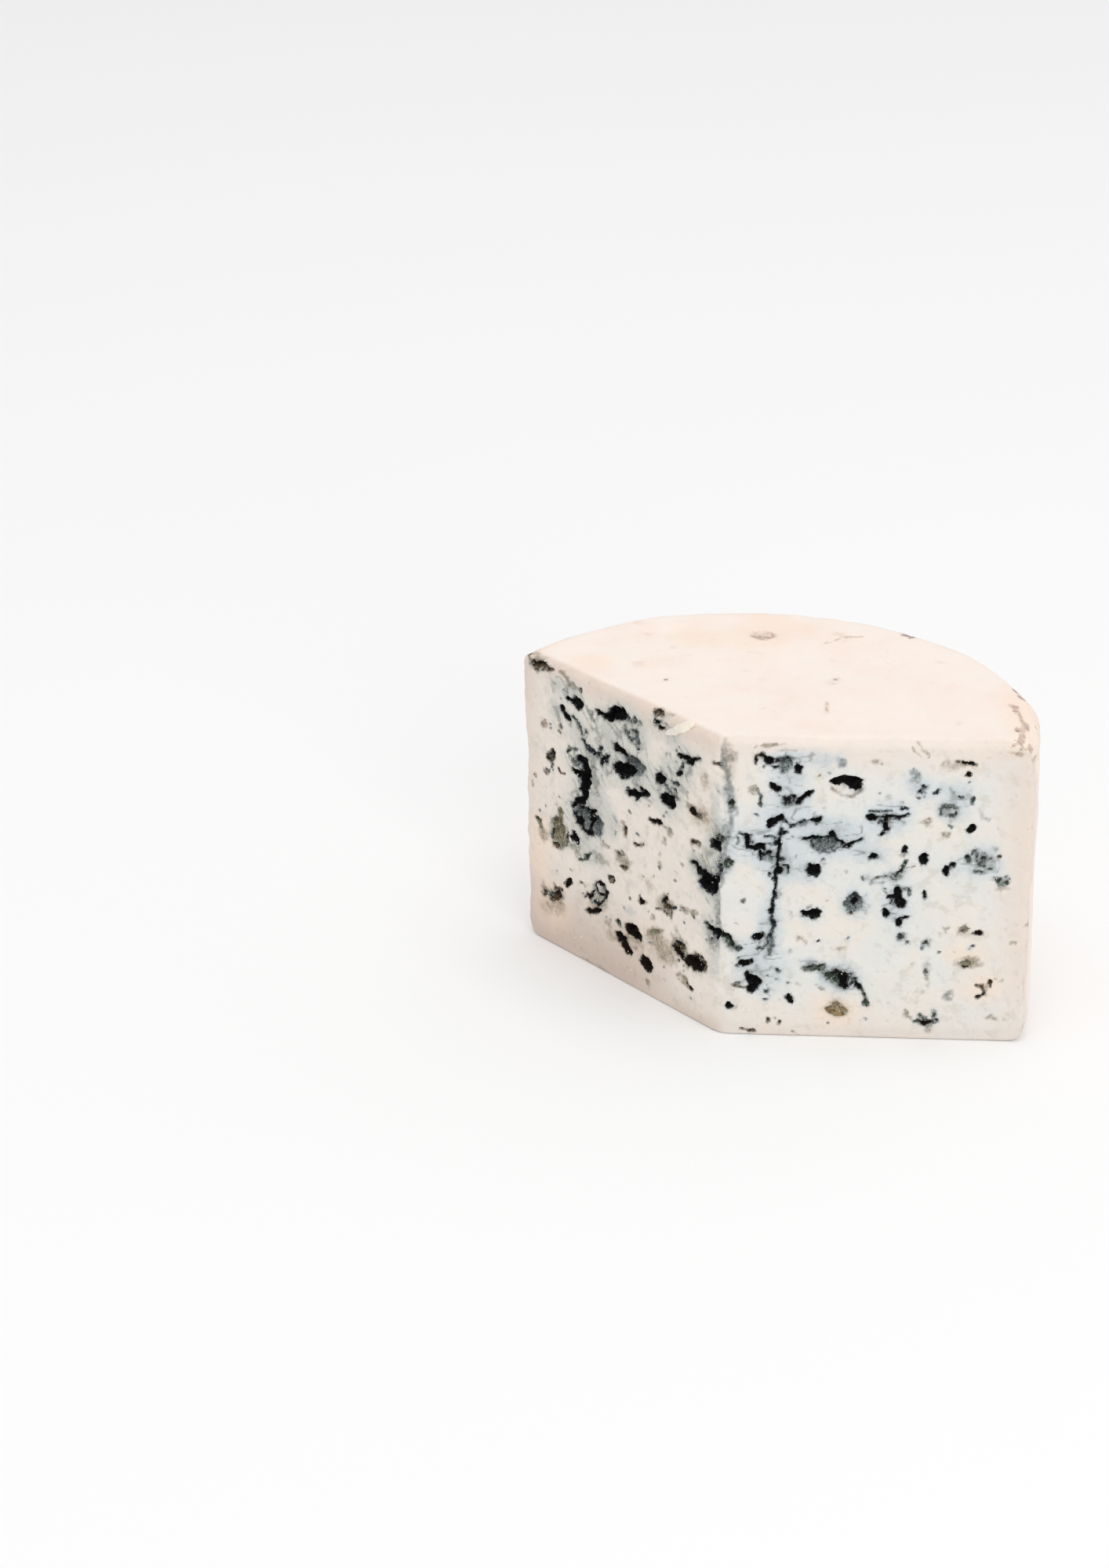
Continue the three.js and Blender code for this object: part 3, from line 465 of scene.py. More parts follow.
LEFT_CRACKS = [
    ("dusk", 0.5, [(84, 108.6), (80.6, 107.4), (77, 106), (74, 105.2), (71.6, 104.4)]),
    ("brown", 0.35, [(98, 107.4), (99.8, 108.8), (100.4, 111)]),
    ("smoke", 0.6, [(76, 93.5), (73.2, 91.6), (71.4, 88.4)]),
    ("green", 0.6, [(76, 93.5), (73.2, 91.6), (71.4, 88.4)]),
    ("blue", 0.6, [(71.4, 86), (69, 84.4), (66, 83.2), (62.6, 83.2)]),
    ("blue", 0.6, [(61.2, 80.4), (59.4, 82.6), (57.2, 85)]),
    ("green", 0.6, [(80, 78.6), (77.4, 80.6), (74.4, 81.8)]),
    ("brown", 0.5, [(84.4, 70.8), (83, 69.6), (81, 69.8)]),
    ("black", 0.6, [(77.4, 59.6), (76, 56), (73.4, 52.6), (70, 51.4), (66.4, 51.6)]),
    ("smoke", 0.5, [(73, 99), (69.6, 96.4), (66.4, 92)]),
    ("smoke", 0.4, [(67.4, 98), (65.6, 96), (63.6, 94)]),
    ("smoke", 0.4, [(56, 97), (53.4, 94.4), (51.4, 91.6)]),
    ("gloom", 0.4, [(50, 97.6), (47.6, 95.8), (44.4, 94.2), (41.4, 93)]),
    ("gloom", 0.35, [(49, 99), (45.6, 98.8), (42.4, 98), (41.2, 95.4), (42, 93.4)]),
    ("gloom", 0.35, [(68.6, 99.4), (66.6, 96.6), (65.8, 93.4), (63.4, 92.4)]),
    ("green", 0.55, [(74.2, 39.3), (71.2, 40.4), (69, 42), (67.6, 43.8)]),
    ("pitch", 0.5, [(59.6, 31), (60, 29.6), (61.6, 27.4), (64.4, 24.6)]),
    ("pitch", 0.4, [(66.6, 29.6), (68.4, 27.6), (71.2, 25.8)]),
    ("brown", 0.55, [(87.6, 23.4), (85.4, 23.8), (83, 24)]),
    ("pitch", 0.6, [(24.6, 24.2), (20.4, 22.8), (16.4, 20.6)]),
    ("blue", 0.4, [(31.8, 84), (28, 84.4), (24.4, 82.4), (21, 81.2)]),
    ("faint", 0.4, [(34, 104.8), (31, 103.8), (27.4, 104.6)]),
    ("faint", 0.5, [(17.4, 81.6), (13.6, 80.2), (9, 80.8), (5, 81)]),
    ("brown", 0.35, [(32.8, 35.6), (30, 36.4), (25, 35.6)]),
    ("black", 0.4, [(11.6, 99.2), (9.6, 100.2)]),
    ("green", 0.6, [(0.4, 74.6), (-0.4, 66), (0, 58)]),
    ("brown", 0.4, [(16.8, 13.4), (14, 11.6)]),
    ("dusk", 0.4, [(22.6, 14), (20.4, 15.2), (17.6, 14.4), (15, 12.4)]),
    ("dusk", 0.35, [(21.6, 12.6), (19, 12.8), (16.6, 12.2)]),
]

# Marks of the top, in millimetres from the front edge: rightwards, backwards, width, depth, turn.
TOP_MARKS = {
    "green": [(13.6, 64.2, 2.2, 3.4, 10)],
    "brown": [(-38.6, 38, 1.4, 2.4, 20)],
    "stain": [
        (3.4, 95.8, 3, 6, 15), (-1, 99.6, 6, 3.4), (-53, 46, 4, 5), (-48.5, 64.8, 4, 3.4),
        (65.8, 46, 2.4, 5), (14, 60, 3.6, 8, 10), (-25, 87.4, 8, 7, 5), (86.4, 49.4, 3, 4),
        (-88, 38, 2, 12, 28), (24, 78, 3, 2, 10), (-62, 72, 5, 3, 20),
    ],
    "faint": [
        (-16.5, 57, 4, 4), (-9, 52.4, 3, 3), (-39, 75, 1.4, 5, 10), (-60, 58, 4, 2, 30),
        (-69, 78, 5, 5, 30), (-85, 57, 2.4, 8, -20), (45, 75, 4, 2, 30), (30, 30, 3, 2),
        (-20, 72, 7, 2, 10), (2, 30, 3, 2), (40, 92, 5, 2), (6, 78, 4, 3),
    ],
    "gloom": [(20.6, 108.4, 3.4, 4), (23.4, 106.4, 2, 4, 10)],
    "taupe": [(-22, 88.6, 2, 5), (-26.8, 86.6, 1.6, 4, 15), (-24.4, 84, 3, 1.6), (86, 49, 1.6, 2)],
    "plum": [(20.4, 108.6, 2.6, 3.4), (23.2, 106.6, 1.6, 3.6, 10)],
    "crater": [(-25, 87.4, 9, 8, 5)],
    "peach": [(-26, 86, 14, 22), (-24, 101, 26, 6, -10), (-68, 40, 12, 9, -20), (-44, 76, 16, 12)],
}
TOP_CRACKS = [
    ("dusk", 0.5, [(19, 44), (20.6, 41), (22, 37), (24.2, 33)]),
    ("dusk", 0.5, [(13.8, 63.6), (14.4, 61.4), (15.4, 59.4)]),
    ("taupe", 0.3, [(19.8, 42.6), (21.2, 39.4), (22.6, 36)]),
    ("taupe", 0.4, [(76.6, 67), (80, 62.6), (84, 57.4), (87.4, 52)]),
    ("taupe", 0.3, [(-2.9, 90.3), (0, 94), (1.1, 97.6), (7.5, 100.6)]),
    ("faint", 0.3, [(-52, 60), (-46, 61.5), (-40, 61)]),
]

# Marks of the rim, in millimetres: round the rim from straight to the right of the wheel's middle, and
# height, which past the top shoulder counts on across the top. Then width, height and tilt.
RIM_MARKS = {
    "brown": [
        (33, 117.8, 2.2, 1.4), (287, 113.4, 3, 2), (131, 116.6, 2.2, 1, -10), (285, 110, 2, 3),
        (292, 115.6, 1.4, 6),
    ],
    "faint": [
        (50, 84, 3, 1.6, 20), (88, 66, 4, 2, -10), (120, 92, 3, 1.4), (150, 40, 5, 2, 12), (186, 76, 3, 2),
        (214, 52, 4, 1.6, -20), (240, 88, 5, 2, 5), (262, 34, 3, 2), (104, 28, 4, 2, 10), (70, 46, 3, 1.4),
        (226, 20, 3, 1.6), (172, 100, 4, 1.4), (53, 102.8, 5, 2, 10),
    ],
    "gloom": [(67, 113.4, 8, 2.2, 4)],
    "taupe": [
        (52, 117.5, 7, 1.8, -4), (37.6, 115.4, 5, 1.4), (27, 114.4, 7, 1.8, -10), (12.6, 114.2, 4, 2, -20),
        (26, 108, 4, 1.6, -10), (131.3, 116, 4.4, 2), (200, 114, 4, 1.2, 10),
    ],
    "plum": [(68, 113.2, 6, 1.6, 4), (62, 114, 4.4, 2), (38, 112.7, 4, 1.2), (43.6, 108.4, 3.4, 2)],
    "peach": [(42, 113, 40, 12), (280, 112, 14, 8)],
}
RIM_CRACKS = [
    ("taupe", 0.4, [(57, 118.6), (50, 117.3), (43, 116.4), (36, 115.4), (28, 114.8), (21, 113.2)]),
    ("taupe", 0.35, [(20, 117.4), (25, 116.4), (30, 116.6), (35, 117.4)]),
    ("taupe", 0.4, [(14, 112.6), (19, 112), (24, 111), (29, 109.6)]),
    ("taupe", 0.35, [(12, 109.4), (18, 108.6), (24, 108.8), (30, 107.2)]),
    ("taupe", 0.3, [(13, 106), (20, 105.4), (27, 105)]),
    ("plum", 0.35, [(56, 112), (62, 111), (66, 112.4)]),
    ("brown", 0.45, [(292, 118), (289.6, 114.6), (287.4, 110.4)]),
    ("faint", 0.4, [(100, 80), (112, 77), (124, 79), (131, 76)]),
    ("faint", 0.4, [(190, 30), (204, 33), (218, 31)]),
]

# Gentle bulges of the rim, in the same measure: place, width and how far they stand out.
RIM_BULGES = [
    (26, 90, 16, 0.9), (60, 110, 18, 1.9), (92, 114, 22, 0.9), (120, 100, 14, 0.5), (230, 60, 26, 0.7),
    (160, 40, 30, 0.6), (232, 114, 26, 0.7),
]

# ---------------------------------------------------------------- smooth random fields

LATTICE = 48  # cells after which the noise repeats
SEED_SHIFT = 0.37  # cells by which each seed's noise is moved from the last one's


def smoothstep(low, high, value):
    """0 below low and 1 above high, smooth between; low may be the larger."""
    share = np.clip((value - low) / (high - low), 0, 1)
    return share * share * (3 - 2 * share)


@cache
def lattice(seed):
    """Random values from -1 to 1 at the corners of a block of cells."""
    return np.random.default_rng(seed).uniform(-1, 1, (LATTICE,) * 3)


def noise(points, cell, seed):
    """A smooth random value from -1 to 1 at each point, with lumps one cell across."""
    scaled = points / cell + SEED_SHIFT * seed
    low = np.floor(scaled).astype(int)
    part = scaled - low
    part = part * part * (3 - 2 * part)
    value = 0
    for corner in np.ndindex(2, 2, 2):
        weight = np.prod(np.where(corner, part, 1 - part), axis=1)
        index = (low + corner) % LATTICE
        value = value + weight * lattice(seed)[tuple(index.T)]
    return value


def layered(points, layers, start=0, seed=0):
    """The start value with noises added, each given by its strength, its cell and its own seed."""
    for strength, cell, own_seed in layers:
        start = start + strength * noise(points, cell, seed + own_seed)
    return start


def flat(coords):
    """Points of a plane, for noise."""
    return np.column_stack([coords, np.zeros(len(coords))])


# ---------------------------------------------------------------- the wedge's form

class WedgeForm:
    """The plain outer form of the wedge, in millimetres from the sharp foot of its front edge."""

    def __init__(self, sizes):
        self.radius = sizes.wheel_radius / MM
        self.height = sizes.wheel_height / MM
        self.centre = sizes.front_to_centre / MM
        self.top_shoulder = sizes.top_shoulder / MM
        self.foot_shoulder = sizes.foot_shoulder / MM
        self.cut_edge = sizes.cut_edge / MM
        self.foot_edge = sizes.foot_edge / MM
        self.front_rounding = sizes.front_rounding / MM
        self.corner_rounding = sizes.corner_rounding / MM
        self.sag = sizes.top_sag / MM
        self.swell = sizes.rim_swell / MM
        self.wear = sizes.edge_wear / MM
        self.sin = math.sin(sizes.wedge_angle / 2)
        self.cos = math.cos(sizes.wedge_angle / 2)
        self.face_length = self.reach(self.radius, 0)
        # The rounding brings the front edge this far back from the sharp one.
        self.front = CAD_LOW.y / MM - self.front_rounding * self.cos / 2

    def reach(self, radius, inset):
        """How far a ring's straight side runs from its tip to its circle."""
        drop = inset / self.sin - self.centre
        return -drop * self.cos + math.sqrt(radius**2 - (drop * self.sin) ** 2)

    def deepest_inset(self, shoulder, edge):
        """How far a flat end's rings can shrink before they meet in a point."""
        span = self.centre + self.radius - shoulder - edge / self.sin
        return span * self.sin / (1 + self.sin)


FACE_COLUMNS = 232
RIM_COLUMNS = 264
SIDE_ROWS = 224
ROUND_ROWS = 9
TOP_RING_GAP = 1.15  # millimetres between the top's rings
FOOT_RING_GAP = 3.2
THIN_AT = (0.0, 0.3, 0.7)  # shares of the way to the middle where every second column ends
ROUNDED_MOST = 0.25  # the share of a ring's straight side that a rounding takes up at most


def columns():
    """Each column's stretch, 0 right cut, 1 rim or 2 left cut, and its share of the way along that."""
    face = np.arange(FACE_COLUMNS) / FACE_COLUMNS
    rim = np.arange(RIM_COLUMNS) / RIM_COLUMNS
    stretch = np.repeat([0, 1, 2], [FACE_COLUMNS, RIM_COLUMNS, FACE_COLUMNS])
    return stretch, np.concatenate([face, rim, face])


def rounded(points, travel, reach, start, corner, end):
    """Replaces the points within reach of a corner by a smooth bend. travel is their distance past it."""
    near = np.abs(travel) < reach
    t = ((travel[near] + reach) / (2 * reach))[:, None]
    points[near] = (1 - t) ** 2 * start + 2 * t * (1 - t) * corner + t**2 * end


def ring(form, radius, inset, stretch, share):
    """The plan of one ring of the surface: a circle of that radius, cut off at inset behind both cuts."""
    tip = np.array([0, inset / form.sin])
    reach = form.reach(radius, inset)
    right = np.array([form.sin, form.cos])
    left = right * (-1, 1)
    right_end = tip + reach * right
    left_end = tip + reach * left
    centre = np.array([0, form.centre])
    begin = math.atan2(right_end[1] - form.centre, right_end[0])
    sweep = math.pi - 2 * begin

    def on_rim(angle):
        return centre + radius * np.column_stack([np.cos(angle), np.sin(angle)])

    points = np.empty((len(share), 2))
    on_right, on_arc, on_left = (stretch == i for i in range(3))
    points[on_right] = tip + share[on_right, None] * reach * right
    points[on_arc] = on_rim(begin + share[on_arc] * sweep)
    points[on_left] = left_end + share[on_left, None] * (tip - left_end)
    rim_length = sweep * radius
    past_tip = np.select([on_right, on_left], [share * reach, (share - 1) * reach], FAR)
    past_right = np.select([on_right, on_arc], [(share - 1) * reach, share * rim_length], FAR)
    past_left = np.select([on_arc, on_left], [(share - 1) * rim_length, share * reach], FAR)
    front = min(form.front_rounding, ROUNDED_MOST * reach)
    side = min(form.corner_rounding, ROUNDED_MOST * reach)
    turn = side / radius
    right_rim, left_rim = on_rim(np.array([begin + turn, math.pi - begin - turn]))
    rounded(points, past_tip, front, tip + front * left, tip, tip + front * right)
    rounded(points, past_right, side, right_end - side * right, right_end, right_rim)
    rounded(points, past_left, side, left_rim, left_end, left_end - side * left)
    return points


def shoulder_drop(form, stretch, share, shoulder, edge):
    """How far below the top, or above the bottom, each column's rounding starts."""
    from_rim = np.select([stretch == 0, stretch == 2], [1 - share, share], 0) * form.face_length
    inside = shoulder - np.minimum(from_rim, shoulder)
    return np.maximum(edge, shoulder - np.sqrt(shoulder**2 - inside**2))


def bridge(lower, upper, lower_start, upper_start):
    """Triangles between two rings, given how many points each has and the number of its first point."""
    if lower == upper:
        i = np.arange(lower)
        j = (i + 1) % lower
        a, b, c, d = lower_start + i, lower_start + j, upper_start + j, upper_start + i
        return np.concatenate([np.column_stack([a, b, c]), np.column_stack([a, c, d])])
    few, many = min(lower, upper), max(lower, upper)
    coarse_start, fine_start = (upper_start, lower_start) if upper < lower else (lower_start, upper_start)
    i = np.arange(few)
    here, there = coarse_start + i, coarse_start + (i + 1) % few
    first, middle, last = (fine_start + (2 * i + k) % many for k in range(3))
    made = np.concatenate([
        np.column_stack([first, middle, here]),
        np.column_stack([middle, there, here]),
        np.column_stack([middle, last, there]),
    ])
    return made if upper < lower else made[:, ::-1]


def cap_rings(form, shoulder, edge, gap):
    """Radius, inset and thinning of each ring from a flat end's edge towards its middle."""
    deepest = form.deepest_inset(shoulder, edge)
    count = int(deepest / gap)
    for i in range(1, count):
        inward = deepest * i / count
        level = sum(i / count > at for at in THIN_AT)
        yield form.radius - shoulder - inward, edge + inward, 2**level


def plain_surface(form):
    """The closed surface before any relief, as points and triangles."""
    stretch, share = columns()
    drop = shoulder_drop(form, stretch, share, form.top_shoulder, form.cut_edge)
    rise = shoulder_drop(form, stretch, share, form.foot_shoulder, form.foot_edge)
    rings = []

    def add(radius, inset, heights, thin=1):
        plan = ring(form, radius, inset, stretch[::thin], share[::thin])
        rings.append(np.column_stack([plan, np.broadcast_to(heights, len(share))[::thin]]))

    foot_rings = list(cap_rings(form, form.foot_shoulder, form.foot_edge, FOOT_RING_GAP))
    for radius, inset, thin in reversed(foot_rings):
        add(radius, inset, 0, thin)
    for angle in np.linspace(math.pi / 2, 0, ROUND_ROWS)[:-1]:
        shrink = 1 - math.cos(angle)
        add(form.radius - form.foot_shoulder * shrink, form.foot_edge * shrink, rise * (1 - math.sin(angle)))
    for level in np.linspace(0, 1, SIDE_ROWS):
        add(form.radius, 0, rise + level * (form.height - drop - rise))
    for angle in np.linspace(0, math.pi / 2, ROUND_ROWS)[1:]:
        shrink = 1 - math.cos(angle)
        heights = form.height - drop * (1 - math.sin(angle))
        add(form.radius - form.top_shoulder * shrink, form.cut_edge * shrink, heights)
    for radius, inset, thin in cap_rings(form, form.top_shoulder, form.cut_edge, TOP_RING_GAP):
        add(radius, inset, form.height, thin)

    counts = [len(r) for r in rings]
    starts = np.concatenate([[0], np.cumsum(counts)])
    triangles = [bridge(counts[k], counts[k + 1], starts[k], starts[k + 1]) for k in range(len(rings) - 1)]
    total = starts[-1]
    first, last = np.arange(counts[0]), starts[-2] + np.arange(counts[-1])
    triangles.append(np.column_stack([np.roll(first, -1), first, np.full(counts[0], total)]))
    triangles.append(np.column_stack([last, np.roll(last, -1), np.full(counts[-1], total + 1)]))
    middles = [rings[0].mean(0), rings[-1].mean(0)]
    return np.concatenate([*rings, middles]), np.concatenate(triangles)


# ---------------------------------------------------------------- spots: pockets and cracks

WALL_SHARE = 0.25  # of a pocket's narrower measure, over which its wall slopes down
WALL_MOST = 1.1  # millimetres
CRUMBLY_GAP = 0.2  # millimetres by which crumbly mould keeps off its pocket's edge on average
VEIN_GAP = 0.1
VEIN_REACH = 3.0  # how far a vein's broken mould spreads, in its radius
FRAYED_FROM = 2.5  # millimetres of width from which a pocket's edge breaks up in full


class Pocket(namedtuple("Pocket", "kind along up width height tilt", defaults=[0])):
    """One pocket's mouth."""

    @property
    def size(self):
        return math.sqrt(self.width * self.height)

    @property
    def narrow(self):
        return min(self.width, self.height)

    @property
    def wall(self):
        return min(WALL_SHARE * self.narrow, WALL_MOST)

    def box(self):
        half = max(self.width, self.height) / 2
        return np.array([self.along - half, self.up - half]), np.array([self.along + half, self.up + half])

    def measure(self, place, breaks):
        """Distance outside the pocket's edge, and height in it from -1 at its floor to 1 at its roof."""
        turn = math.radians(self.tilt)
        x, y = place[:, 0] - self.along, place[:, 1] - self.up
        across = x * math.cos(turn) + y * math.sin(turn)
        upward = y * math.cos(turn) - x * math.sin(turn)
        distance = ellipse_distance(across, upward, self.width / 2, self.height / 2)
        roof = np.clip(2 * upward / self.height, -1, 1)
        fraying = KINDS[self.kind].fraying * breaks
        if self.kind == "crumbly":
            return np.maximum(distance, CRUMBLY_GAP + fraying), roof
        return distance + fraying * min(1, self.narrow / FRAYED_FROM), roof


class Crack(namedtuple("Crack", "kind radius route")):
    """A thin mouldy crack or groove along a route."""

    @property
    def size(self):
        return 4 * self.radius

    @property
    def narrow(self):
        return 2 * self.radius

    @property
    def wall(self):
        return self.radius

    def box(self):
        route = np.array(self.route)
        return route.min(0), route.max(0)

    def measure(self, place, breaks):
        """Distance outside the crack's edge, and a height of 0."""
        best = np.full(len(place), FAR)
        kind = KINDS[self.kind]
        route = np.array(self.route, float)
        for start, end in zip(route[:-1], route[1:]):
            run = end - start
            share = np.clip((place - start) @ run / (run @ run), 0, 1)
            best = np.minimum(best, np.linalg.norm(place - start - share[:, None] * run, axis=1))
        level = np.zeros(len(place))
        if self.kind == "vein":
            return np.maximum(best - VEIN_REACH * self.radius, VEIN_GAP + kind.fraying * breaks), level
        return best - self.radius * (1 - kind.fraying * breaks), level


def ellipse_distance(x, y, a, b):
    """Distance from an ellipse's edge, negative inside: exact on the axes and close elsewhere."""
    scaled = np.hypot(x / a, y / b)
    slope = np.hypot(x / a**2, y / b**2) + 1e-6
    return scaled * (scaled - 1) / slope


def pockets_of(table, side=1):
    """A table's pockets. On the left cut distances run the other way, and so do tilts."""
    pockets = [Pocket(kind, *row) for kind, rows in table.items() for row in rows]
    return [pocket._replace(tilt=side * pocket.tilt) for pocket in pockets]


def cracks_of(table):
    return [Crack(*row) for row in table]


SPECK_SHARES = {"black": 0.16, "blue": 0.20, "green": 0.22, "brown": 0.14, "faint": 0.28}
SPECK_LEAST = 0.5  # millimetres across
SPECK_GROWTH = 1.3  # what is added to that at most
SPECK_HEIGHTS = (0.3, 0.75)  # as shares of the width
SPECK_TURN = 32  # degrees by which they turn off the slant
SPECK_STRAY = 1.2  # millimetres from a pocket's middle, and more with its size
SPECK_STRAY_MORE = 0.75
LONE_SHARE = 0.22  # of the specks, which lie anywhere within these distances from the front edge and heights
LONE_ALONG = (3, 100)
LONE_UP = (6, 104)
VEIN_SHORTEST = 1  # millimetres
VEIN_BEND = 0.17  # how far a vein's middle strays, as a share of its length
VEIN_RADII = (0.18, 0.42)


def is_clear(along, up, boxes):
    """Whether a place lies in one of the boxes that are kept clear."""
    return any(left < along < right and low < up < high for left, low, right, high in boxes)


def specks(pockets, count, slant, clear, seed):
    """Small extra pockets, most of them near the large ones and along the slant, none in the clear boxes."""
    random = np.random.default_rng(seed)
    kinds, shares = list(SPECK_SHARES), list(SPECK_SHARES.values())
    made = []
    while len(made) < count:
        host = pockets[random.integers(len(pockets))]
        spread = SPECK_STRAY + SPECK_STRAY_MORE * host.size
        lone = random.random() < LONE_SHARE
        along = random.uniform(*LONE_ALONG) if lone else host.along + random.normal(0, spread)
        up = random.uniform(*LONE_UP) if lone else host.up + random.normal(0, spread)
        width = SPECK_LEAST + SPECK_GROWTH * random.random() ** 2
        height = width * random.uniform(*SPECK_HEIGHTS)
        kind = str(random.choice(kinds, p=shares))
        tilt = random.normal(slant, SPECK_TURN)
        if not is_clear(along, up, clear):
            made.append(Pocket(kind, along, up, width, height, tilt))
    return made


def veins(pockets, reach, share, clear, seed):
    """Thin mouldy threads between some of the pockets that lie close together."""
    random = np.random.default_rng(seed)
    mouldy = [np.array([pocket.along, pocket.up]) for pocket in pockets if KINDS[pocket.kind].cover]
    made = []
    for start, end in combinations(mouldy, 2):
        gap = math.dist(start, end)
        if not VEIN_SHORTEST < gap < reach or random.random() > share:
            continue
        middle = (start + end) / 2 + random.normal(0, VEIN_BEND * gap, 2)
        if not is_clear(*middle, clear):
            made.append(Crack("vein", random.uniform(*VEIN_RADII), [start, middle, end]))
    return made


# ---------------------------------------------------------------- charts: each surface laid flat

FRONT_BLEND = 0.8  # millimetres each side of the front edge in which both cuts' pockets count
RIM_BORDER = (18, 13)  # millimetres in from the rim over which its marks give way to the top's
RIM_CUT_BLEND = (0.1, 1.2)  # millimetres behind a cut over which the rim's marks begin
SHOULDER_SHARE = 0.6  # what a place's smaller distance to the top or the rim counts for at the shoulder
TINY = 0.01  # keeps a division from one by nothing


class CutChart:
    """A cut face: distance from the front edge, and height. Its curds' slant is in degrees."""

    def __init__(self, form, side, slant, spots, seed):
        self.side = side
        self.slant = math.radians(slant)
        self.direction = np.array([side * form.sin, form.cos, 0])
        self.inward = np.array([-side * form.cos, form.sin, 0])
        self.spots = spots
        self.seed = seed

    def coords(self, points):
        return np.column_stack([points @ self.direction, points[:, 2]])

    def below(self, points):
        return points @ self.inward

    def belongs(self, points):
        return smoothstep(-FRONT_BLEND, FRONT_BLEND, self.side * points[:, 0])

    def inwards(self, points):
        return self.inward


class TopChart:
    """The top: distance rightwards and backwards from the front edge."""

    slant = None

    def __init__(self, form, spots, seed):
        self.height = form.height
        self.spots = spots
        self.seed = seed

    def coords(self, points):
        return points[:, :2]

    def below(self, points):
        return self.height - points[:, 2]

    def belongs(self, points):
        return np.ones(len(points))

    def inwards(self, points):
        return np.array([0, 0, -1.0])


class RimChart:
    """The rim and the top's border: distance round the rim, and height, counted on across the top."""

    slant = None

    def __init__(self, form, spots, seed):
        self.form = form
        self.spots = spots
        self.seed = seed

    def coords(self, points):
        around = np.arctan2(points[:, 1] - self.form.centre, points[:, 0]) * self.form.radius
        return np.column_stack([around, points[:, 2] + self.inset(points)])

    def inset(self, points):
        return self.form.radius - np.hypot(points[:, 0], points[:, 1] - self.form.centre)

    def below(self, points):
        gaps = np.abs(self.inset(points)), np.abs(self.form.height - points[:, 2])
        return SHOULDER_SHARE * np.minimum(*gaps)

    def belongs(self, points):
        behind = from_cuts(self.form, points).min(axis=1)
        return smoothstep(*RIM_BORDER, self.inset(points)) * smoothstep(*RIM_CUT_BLEND, behind)

    def inwards(self, points):
        across = points - (0, self.form.centre, 0)
        across[:, 2] = 0
        across /= np.linalg.norm(across, axis=1)[:, None]
        down, inset = self.form.height - points[:, 2], np.abs(self.inset(points))
        share = (np.abs(down) / (np.abs(down) + inset + TINY))[:, None]
        return -(across * share + np.array([0, 0, 1.0]) * (1 - share))


def from_cuts(form, points):
    """Distances behind the planes of the right cut and of the left one."""
    return np.column_stack([points @ np.array([-side * form.cos, form.sin, 0]) for side in SIDES])


# Noises of each chart, as strength, cell and seed, the last counted on from the chart's own.
BREAKS = ((0.7, 1.8, 6), (0.4, 0.8, 7))  # break up the pockets' edges
LUMPS = ((0.5, 1.6, 8), (0.3, 0.9, 12))  # make the pockets' floors uneven
LEVEL = 0.8  # the floors' depth apart from their lumps
WANDER = ((1.5, 7, 9),)  # bends the crevices
OPENING = ((0.35, 3.2, 11),)  # opens and closes them
RIDGES = (2.5, 10)  # cell and seed of the noise in whose zeros they lie
CURD_STRETCH = 3  # how much longer than wide the curds between them are
CREVICE_SHARPNESS = (1.15, 5.5)  # a crevice's strength in its middle, and how fast that fades
CREVICE_DENSITY = (0.4, 0.95)  # strengths of bloom between which they open
CREVICE_DEPTH = 0.45


def crevices(chart, coords, bloom):
    """Thin dark lines between the curds of a cut, along its slant, which open where the mould is dense."""
    if chart.slant is None:
        return np.zeros(len(coords))
    cos, sin = math.cos(chart.slant), math.sin(chart.slant)
    along = coords[:, 0] * cos + coords[:, 1] * sin
    across = layered(flat(coords), WANDER, coords[:, 1] * cos - coords[:, 0] * sin, chart.seed)
    cell, own_seed = RIDGES
    ridges = noise(flat(np.column_stack([along / CURD_STRETCH, across])), cell, chart.seed + own_seed)
    top, slope = CREVICE_SHARPNESS
    lines = np.clip(top - slope * np.abs(ridges), 0, 1)
    return lines * smoothstep(*CREVICE_DENSITY, layered(flat(coords), OPENING, bloom, chart.seed))


# Noise that frays the pockets: its cell, its reach, and the width of pocket from which it works in full.
FRAYING = ((5.0, 0.6, 8.0), (2.2, 0.65, 3.5), (0.95, 0.42, 1.5))
NEAR = 16.0  # millimetres round a pocket in which it tinges the paste
INNER = -0.5  # millimetres inside which no pocket claims a place more strongly than another
DARK_FIRST = 1.5  # how far a dark pocket is preferred to the pale one it lies in
DARK_EDGE = 0.4  # millimetres each side of a dark pocket's edge over which that preference fades
DEPTHS = (0.15, 5)  # millimetres: the shallowest and deepest a pocket may be
RIM_OF_POCKET = 0.2  # millimetres outside its edge at which a pocket begins to sink
UNDERCUT = 0.38  # how much deeper a pocket is at its roof than halfway down, and shallower at its floor
# How far a pocket's smudge, bloom and warmth reach: millimetres, and more for each millimetre of its size.
FADES = ((0.35, 0.05), (0.9, 0.35), (0.6, 0.2))
# Spots without mould: how far outside the edge the smudge or tinge begins, in millimetres and as a share of
# the spot's narrower measure, and where it is full, as such a share.
BARE_SMUDGE = (0.15, 0.45, -0.45)
BARE_TINGE = (0.5, 0.7, -0.4)
Reading = namedtuple("Reading", "edge depth nearest smudge brown bloom warmth roof cover dark crevice")


def bare_fade(distance, narrow, start, start_more, full):
    """How strongly a spot without mould of its own stains the paste."""
    return smoothstep(start + start_more * narrow, full * narrow, distance)


